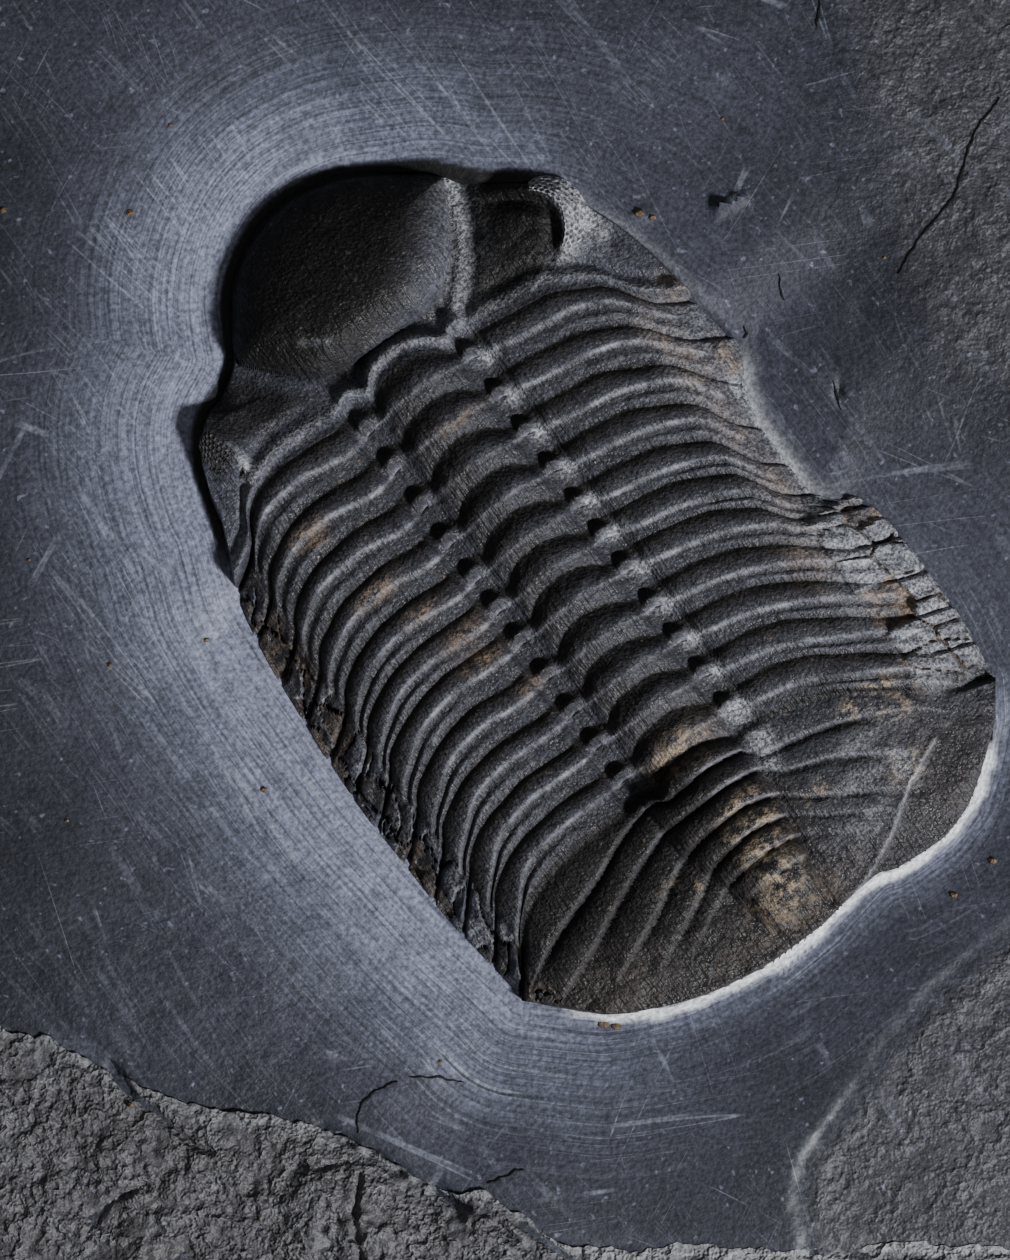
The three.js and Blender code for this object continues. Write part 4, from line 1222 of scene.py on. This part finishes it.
def rangeNode(tree, value, low, high, toLow=0.0, toHigh=1.0):
    made = tree.nodes.new("ShaderNodeMapRange")
    made.clamp = True
    for key, number in (("Value", value), ("From Min", low), ("From Max", high), ("To Min", toLow),
                        ("To Max", toHigh)):
        feed(tree, number, made.inputs[key])
    return made.outputs["Result"]


def mathNode(tree, operation, a, b=0.5):
    made = tree.nodes.new("ShaderNodeMath")
    made.operation = operation
    feed(tree, a, made.inputs[0])
    feed(tree, b, made.inputs[1])
    return made.outputs[0]


def times(tree, a, b):
    return mathNode(tree, "MULTIPLY", a, b)


def plus(tree, a, b):
    return mathNode(tree, "ADD", a, b)


def minus(tree, a, b):
    return mathNode(tree, "SUBTRACT", a, b)


def larger(tree, a, b):
    return mathNode(tree, "MAXIMUM", a, b)


def smaller(tree, a, b):
    return mathNode(tree, "MINIMUM", a, b)


def mixColour(tree, share, first, second):
    made = tree.nodes.new("ShaderNodeMix")
    made.data_type = "RGBA"
    feed(tree, share, made.inputs["Factor"])
    for index, value in ((6, first), (7, second)):
        feed(tree, (*value, 1) if isinstance(value, tuple) else value, made.inputs[index])
    return made.outputs[2]


def attributeNode(tree, name):
    made = tree.nodes.new("ShaderNodeAttribute")
    made.attribute_name = name
    return made


def newGroup(name, inputs, outputs):
    # an effect with named inputs and outputs, to be placed in any material
    tree = bpy.data.node_groups.new(name, "ShaderNodeTree")
    tree.interface.new_socket("Vector", in_out="INPUT", socket_type="NodeSocketVector")
    for key, start in inputs.items():
        kind = "NodeSocketFloat" if isinstance(start, float) else "NodeSocketVector"
        tree.interface.new_socket(key, in_out="INPUT", socket_type=kind).default_value = start
    for key in outputs:
        tree.interface.new_socket(key, in_out="OUTPUT", socket_type="NodeSocketFloat")
    return tree, tree.nodes.new("NodeGroupInput").outputs, tree.nodes.new("NodeGroupOutput").inputs


def placeGroup(tree, group, vector, values):
    made = tree.nodes.new("ShaderNodeGroup")
    made.node_tree = group
    tree.links.new(vector, made.inputs["Vector"])
    for key, value in values.items():
        made.inputs[key].default_value = value
    return made.outputs


def turned(tree, vector, turn):
    mapping = tree.nodes.new("ShaderNodeMapping")
    mapping.inputs["Rotation"].default_value = (0, 0, math.radians(turn))
    tree.links.new(vector, mapping.inputs["Vector"])
    return mapping.outputs[0]


def makeScratches():
    # long hair lines along one direction, broken up, as a mask
    tree, enter, leave = newGroup("scratches",
            {"Length": 30.0, "Fineness": 700.0, "Width": 0.012, "Cover": 0.5}, ["Mask"])
    parts = tree.nodes.new("ShaderNodeSeparateXYZ")
    tree.links.new(enter["Vector"], parts.inputs[0])
    joined = tree.nodes.new("ShaderNodeCombineXYZ")
    tree.links.new(times(tree, parts.outputs[0], enter["Length"]), joined.inputs[0])
    tree.links.new(times(tree, parts.outputs[1], enter["Fineness"]), joined.inputs[1])
    field = noiseNode(tree, joined.outputs[0], 1.0, 1.0, 0.5)
    away = mathNode(tree, "ABSOLUTE", minus(tree, field, 0.5))
    thin = minus(tree, 1.0, mathNode(tree, "DIVIDE", away, enter["Width"]))
    gate = minus(tree, noiseNode(tree, enter["Vector"], 130.0, 2.0), enter["Cover"])
    gate = smaller(tree, larger(tree, times(tree, gate, 8.0), 0.0), 1.0)
    tree.links.new(times(tree, larger(tree, thin, 0.0), gate), leave["Mask"])
    return tree


def makeStoneGrain():
    # the crystals of the stone: their height, how bright they are, and a few light flecks
    tree, enter, leave = newGroup("stone_grain", {
        "Scale": 2600.0, "Darkest": 0.6, "Brightest": 1.45, "Fleck Scale": 1500.0,
        "Fleck Start": 0.69},
        ["Grain", "Brightness", "Fleck"])
    grain = noiseNode(tree, enter["Vector"], enter["Scale"], 1.0, 0.6)
    tree.links.new(grain, leave["Grain"])
    tree.links.new(rangeNode(tree, grain, 0.3, 0.75, enter["Darkest"], enter["Brightest"]),
                   leave["Brightness"])
    flecks = noiseNode(tree, enter["Vector"], enter["Fleck Scale"], 1.0, 0.5)
    tree.links.new(rangeNode(tree, flecks, enter["Fleck Start"], 0.76), leave["Fleck"])
    return tree


def makeStreaks():
    # noise drawn out along one direction
    tree, enter, leave = newGroup("drawn_streaks", {
        "Turn": (0, 0, 0), "Stretch": (70, 3600, 1), "Roughness": 0.6}, ["Streak"])
    turn, stretch = tree.nodes.new("ShaderNodeMapping"), tree.nodes.new("ShaderNodeMapping")
    tree.links.new(enter["Vector"], turn.inputs["Vector"])
    tree.links.new(enter["Turn"], turn.inputs["Rotation"])
    tree.links.new(turn.outputs[0], stretch.inputs["Vector"])
    tree.links.new(enter["Stretch"], stretch.inputs["Scale"])
    tree.links.new(noiseNode(tree, stretch.outputs[0], 1.0, 1.0, enter["Roughness"]),
                   leave["Streak"])
    return tree


scratches, stoneGrain, streaks = makeScratches(), makeStoneGrain(), makeStreaks()


def scratchMask(tree, vector, turn, length, fineness, width, cover):
    return placeGroup(tree, scratches, turned(tree, vector, turn), {
        "Length": length, "Fineness": fineness, "Width": width, "Cover": cover})["Mask"]


def streakField(tree, vector, turn, stretch, rough):
    return placeGroup(tree, streaks, vector, {
        "Turn": (0, 0, math.radians(turn)), "Stretch": stretch, "Roughness": rough})["Streak"]


def scaled(tree, colour, amount):
    made = tree.nodes.new("ShaderNodeVectorMath")
    made.operation = "SCALE"
    tree.links.new(colour, made.inputs[0])
    tree.links.new(amount, made.inputs["Scale"])
    return made.outputs[0]


def bumped(tree, shader, depth, distance):
    relief = tree.nodes.new("ShaderNodeBump")
    relief.inputs["Strength"].default_value = 1.0
    relief.inputs["Distance"].default_value = distance
    tree.links.new(depth, relief.inputs["Height"])
    tree.links.new(relief.outputs[0], shader.inputs["Normal"])


slateSettings = {
    "dark": (0.0155, 0.0172, 0.0255),
    "middle": (0.036, 0.040, 0.059),
    "shade": (0.006, 0.006, 0.007),
    # the pale halo's colour: scratched stone and painted light on the slope that faces the lamp;
    # also used for the light flecks
    "halo": (0.27, 0.292, 0.41),
    # white of the scraped flanks and edges, partly painted highlight
    "scrapedAndLit": (0.80, 0.83, 0.88),
    "scratch": (0.30, 0.33, 0.41),
    "brown": (0.103, 0.101, 0.113),
    "ridge": (0.26, 0.26, 0.28),
    "bumpDepth": 0.0002,     # metres
}


def slateMaterial():
    material, tree, shader = newMaterial("slate")
    st = slateSettings
    coords = tree.nodes.new("ShaderNodeTexCoord").outputs["Object"]
    halo, natural, scrapedAndLit, sweep = [attributeNode(tree, key).outputs["Fac"]
                                     for key in ("halo", "natural", "scrapedAndLit", "sweep")]
    scrape = tree.nodes.new("ShaderNodeUVMap")
    scrape.uv_map = "scrape"
    way = scrape.outputs[0]
    cloud = noiseNode(tree, coords, 48.0, 4.0, 0.6)
    mottle = noiseNode(tree, coords, 420.0, 3.0, 0.6)
    crystals = placeGroup(tree, stoneGrain, coords, {
        "Scale": 2600.0, "Darkest": 0.58, "Brightest": 1.45, "Fleck Scale": 1500.0,
        "Fleck Start": 0.69})
    base = mixColour(tree, rangeNode(tree, cloud, 0.3, 0.7), st["dark"], st["middle"])
    craggy = rangeNode(tree, natural, 0.5, 1.0)
    base = mixColour(tree, times(tree, craggy, 0.92), base, st["brown"])
    shade = attributeNode(tree, "dark").outputs["Fac"]
    streak = streakField(tree, way, 4, (70, 3600, 1), 0.7)
    # halo: scratched stone, partly painted light
    haloShare = times(tree, halo, rangeNode(tree, streak, 0.3, 0.7, 0.42, 1.6))
    haloShare = times(tree, haloShare, rangeNode(tree, mottle, 0.3, 0.7, 0.9, 1.1))
    haloShare = smaller(tree, haloShare, 1.0)
    base = mixColour(tree, haloShare, base, st["halo"])
    haloLines = None
    for turn, length, fine, cover in ((54, 12, 640, 0.47), (45, 12, 560, 0.49), (61, 12, 700, 0.5)):
        mask = scratchMask(tree, coords, turn, length, fine, 0.014, cover)
        haloLines = mask if haloLines is None else larger(tree, haloLines, mask)
    sweptLines = larger(tree, scratchMask(tree, way, 3, 12, 620, 0.016, 0.44),
                          scratchMask(tree, way, -5, 12, 480, 0.014, 0.47))
    haloLines = plus(tree, times(tree, haloLines, minus(tree, 1.0, sweep)),
                     times(tree, sweptLines, sweep))
    haloLines = times(tree, haloLines, rangeNode(tree, halo, 0.02, 0.4, 0.15, 0.9))
    looseLines = None
    for turn, length, fine, cover in ((72, 8, 330, 0.55), (24, 8, 260, 0.57), (118, 8, 300, 0.56),
                                      (-8, 9, 380, 0.54)):
        mask = scratchMask(tree, coords, turn, length, fine, 0.0045, cover)
        looseLines = mask if looseLines is None else larger(tree, looseLines, mask)
    looseLines = times(tree, looseLines, rangeNode(tree, natural, 0.3, 0.9, 0.6, 0.08))
    lines = larger(tree, haloLines, looseLines)
    base = mixColour(tree, lines, base, st["scratch"])
    # the white of the scraped flanks and edges, partly painted highlight
    white = times(tree, scrapedAndLit, rangeNode(tree, streak, 0.25, 0.7, 0.75, 1.1))
    base = mixColour(tree, smaller(tree, white, 1.0), base, st["scrapedAndLit"])
    base = mixColour(tree, times(tree, crystals["Fleck"], 0.45), base, st["halo"])
    ridge = noiseNode(tree, coords, 240.0, 4.0, 0.62)
    ridge = mathNode(tree, "ABSOLUTE", minus(tree, ridge, 0.5))
    ridgeLightening = times(tree, rangeNode(tree, ridge, 0.0, 0.022, 1.0, 0.0), craggy)
    ridgeLightening = times(tree, ridgeLightening, rangeNode(tree, mottle, 0.4, 0.62, 0.0, 0.75))
    base = mixColour(tree, ridgeLightening, base, st["ridge"])
    base = mixColour(tree, shade, base, st["shade"])
    base = scaled(tree, base, rangeNode(tree, mottle, 0.3, 0.7, 0.88, 1.12))
    base = scaled(tree, base, crystals["Brightness"])
    tree.links.new(base, shader.inputs["Base Color"])
    tree.links.new(rangeNode(tree, cloud, 0.3, 0.7, 0.5, 0.66), shader.inputs["Roughness"])
    crag = noiseNode(tree, coords, 330.0, 4.0, 0.66)
    crag = minus(tree, crag, 0.5)
    depth = times(tree, crag, rangeNode(tree, natural, 0.0, 1.0, 0.4, 3.6))
    sharp = times(tree, rangeNode(tree, ridge, 0.0, 0.09, 1.5, 0.0), craggy)
    depth = plus(tree, depth, sharp)
    depth = plus(tree, depth, times(tree, crystals["Grain"], 0.3))
    depth = plus(tree, depth, times(tree, times(tree, streak, halo), 0.35))
    bumped(tree, shader, depth, st["bumpDepth"])
    return material


shellSettings = {
    "dark": (0.017, 0.0155, 0.0160),
    "middle": (0.047, 0.0445, 0.0470),
    # colour of the dark marks, many of them painted shade and shadow
    "black": (0.0105, 0.0101, 0.0106),
    # blue-grey band colour: partly the shell's own tone, partly painted light
    "band": (0.082, 0.087, 0.114),
    # colour of the painted highlight on the crests
    "crest": (0.36, 0.37, 0.43),
    # pale colour: partly pale shell, mostly painted highlight
    "pale": (0.55, 0.57, 0.63),
    "tan": (0.27, 0.195, 0.14),
    "gold": (0.72, 0.57, 0.39),
    "bumpDepth": 0.00016,    # metres
}


def shellMaterial():
    material, tree, shader = newMaterial("shell")
    st = shellSettings
    coords = tree.nodes.new("ShaderNodeTexCoord").outputs["Object"]
    crest, band, dark, tan, gold, pale = [attributeNode(tree, key).outputs["Fac"]
                                          for key in ("crest", "band", "dark", "tan", "gold",
                                                      "pale")]
    cloud = noiseNode(tree, coords, 230.0, 4.0, 0.6)
    speck = noiseNode(tree, coords, 900.0, 3.0, 0.65)
    crystals = placeGroup(tree, stoneGrain, coords, {
        "Scale": 3400.0, "Darkest": 0.6, "Brightest": 1.45, "Fleck Scale": 1900.0,
        "Fleck Start": 0.68})
    fibre = streakField(tree, coords, 54, (420, 3300, 1), 0.6)
    base = mixColour(tree, rangeNode(tree, cloud, 0.32, 0.68), st["dark"], st["middle"])
    # band tone, partly painted light
    bandShare = times(tree, band, rangeNode(tree, speck, 0.3, 0.65, 0.5, 1.0))
    base = mixColour(tree, bandShare, base, st["band"])
    # painted highlight on the crests, broken up by specks
    ridgeLightening = times(tree, crest, rangeNode(tree, speck, 0.34, 0.62, 0.3, 0.95))
    base = mixColour(tree, ridgeLightening, base, st["crest"])
    tanShare = times(tree, tan, rangeNode(tree, speck, 0.38, 0.58))
    base = mixColour(tree, tanShare, base, st["tan"])
    goldShare = times(tree, gold, rangeNode(tree, speck, 0.44, 0.6))
    base = mixColour(tree, goldShare, base, st["gold"])
    # the dark marks, much of them painted shade and shadow
    base = mixColour(tree, dark, base, st["black"])
    # the pale marks, mostly painted highlight
    paleShare = times(tree, pale, rangeNode(tree, crystals["Grain"], 0.4, 0.6, 0.5, 1.0))
    paleShare = times(tree, paleShare, rangeNode(tree, speck, 0.36, 0.56, 0.65, 1.0))
    base = mixColour(tree, paleShare, base, st["pale"])
    base = mixColour(tree, times(tree, crystals["Fleck"], 0.25), base, st["tan"])
    base = scaled(tree, base, crystals["Brightness"])
    tree.links.new(base, shader.inputs["Base Color"])
    shader.inputs["Specular IOR Level"].default_value = 0.3
    rough = rangeNode(tree, speck, 0.35, 0.65, 0.34, 0.58)
    tree.links.new(plus(tree, rough, times(tree, dark, 0.12)), shader.inputs["Roughness"])
    tree.links.new(times(tree, goldShare, 0.6), shader.inputs["Metallic"])
    wart = tree.nodes.new("ShaderNodeTexVoronoi")
    wart.inputs["Scale"].default_value = 1250.0
    tree.links.new(coords, wart.inputs["Vector"])
    warts = rangeNode(tree, wart.outputs["Distance"], 0.1, 0.4, 1.0, 0.0)
    warts = times(tree, warts, dark)
    depth = plus(tree, times(tree, cloud, 0.8), crystals["Grain"])
    depth = plus(tree, depth, times(tree, fibre, 1.3))
    depth = plus(tree, depth, times(tree, speck, 0.6))
    depth = plus(tree, depth, times(tree, warts, 0.3))
    depth = plus(tree, depth, times(tree, times(tree, speck, goldShare), 1.6))
    bumped(tree, shader, depth, st["bumpDepth"])
    return material


pyriteSettings = {"rust": (0.10, 0.062, 0.035), "brass": (0.24, 0.17, 0.10)}


def pyriteMaterial():
    material, tree, shader = newMaterial("pyrite")
    coords = tree.nodes.new("ShaderNodeTexCoord").outputs["Object"]
    speck = noiseNode(tree, coords, 1500.0, 5.0, 0.65)
    share = rangeNode(tree, speck, 0.42, 0.62)
    tree.links.new(mixColour(tree, share, pyriteSettings["rust"], pyriteSettings["brass"]),
                   shader.inputs["Base Color"])
    tree.links.new(times(tree, share, 0.6), shader.inputs["Metallic"])
    tree.links.new(rangeNode(tree, speck, 0.3, 0.7, 0.6, 0.4), shader.inputs["Roughness"])
    bumped(tree, shader, speck, 0.0003)
    return material


slate, shell, pyrite = slateMaterial(), shellMaterial(), pyriteMaterial()


def crackMaterial():
    material, tree, shader = newMaterial("crack_shade")
    coords = tree.nodes.new("ShaderNodeTexCoord").outputs["Object"]
    speck = noiseNode(tree, coords, 1500.0, 3.0)
    tree.links.new(mixColour(tree, speck, crackSettings["shade"], crackSettings["lighter"]),
                   shader.inputs["Base Color"])
    tree.links.new(rangeNode(tree, speck, 0.3, 0.7, 0.8, 0.95), shader.inputs["Roughness"])
    bumped(tree, shader, speck, 0.00005)
    return material


crackShade = crackMaterial()
bodyPieces = (headPiece, thoraxPiece, tailPiece, rightLenses, leftLenses)
for material, pieces in ((slate, (slabPiece, roughPiece)), (pyrite, (grainPiece,)),
                         (crackShade, (crackPiece,)),
                         (shell, bodyPieces)):
    for piece in pieces:
        piece.data.materials.clear()
        piece.data.materials.append(material)
print("stage: materials made")


# frame, light and camera

for piece in (slabPiece, roughPiece, grainPiece, crackPiece):
    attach(piece, "root")
    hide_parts("slate_slab")
for piece in bodyPieces:
    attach(piece, "root")
    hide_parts("trilobite")

deselectAll()
bpy.ops.mesh.primitive_plane_add(size=3, location=(0, 0, -0.0002))
floor = bpy.context.active_object
floor.name = "floor"
paper = bpy.data.materials.new("paper")
paper.use_nodes = True
paper.node_tree.nodes["Principled BSDF"].inputs["Base Color"].default_value = (0.78, 0.78, 0.77, 1)
floor.data.materials.append(paper)

lightSettings = {
    "turn": -37.0,       # degrees from +X, seen from above
    "rise": 38.0,        # degrees above the slab
    "distance": 0.6,
    "size": 0.09,
    "power": 4.4,
    "softTurn": 140.0,
    "softRise": 55.0,
    "softDistance": 0.8,
    "softSize": 0.8,
    "softPower": 0.18,
    "surround": 0.09,
}

cameraSettings = {
    "lens": 100,
    "sensor": 36,
    "fieldHeight": 105.84,   # millimetres of the slab from the top of the picture to its foot
    "fieldLevel": 13.8,      # the height at which that is measured
}


def addLamp(name, turn, rise, distance, size, power):
    turn, rise = math.radians(turn), math.radians(rise)
    place = Vector((math.cos(turn) * math.cos(rise), math.sin(turn) * math.cos(rise),
                    math.sin(rise))) * distance
    data = bpy.data.lights.new(name, "AREA")
    data.size = size
    data.energy = power
    lamp = bpy.data.objects.new(name, data)
    lamp.location = place
    lamp.rotation_euler = (-place).to_track_quat("-Z", "Y").to_euler()
    bpy.context.scene.collection.objects.link(lamp)
    return lamp


ls = lightSettings
addLamp("key", ls["turn"], ls["rise"], ls["distance"], ls["size"], ls["power"])
addLamp("fill", ls["softTurn"], ls["softRise"], ls["softDistance"], ls["softSize"],
        ls["softPower"])
world = bpy.data.worlds.new("studio") if not bpy.context.scene.world else bpy.context.scene.world
bpy.context.scene.world = world
world.use_nodes = True
world.node_tree.nodes["Background"].inputs["Color"].default_value = (1, 1, 1, 1)
world.node_tree.nodes["Background"].inputs["Strength"].default_value = ls["surround"]

cameraData = bpy.data.cameras.new("camera")
cs = cameraSettings
cameraData.lens = cs["lens"]
cameraData.sensor_width = cs["sensor"]
camera = bpy.data.objects.new("camera", cameraData)
camera.location = (shift[0] * mm, shift[1] * mm,
                   (cs["fieldHeight"] * cs["lens"] / cs["sensor"] + cs["fieldLevel"]) * mm)
bpy.context.scene.collection.objects.link(camera)
bpy.context.scene.camera = camera
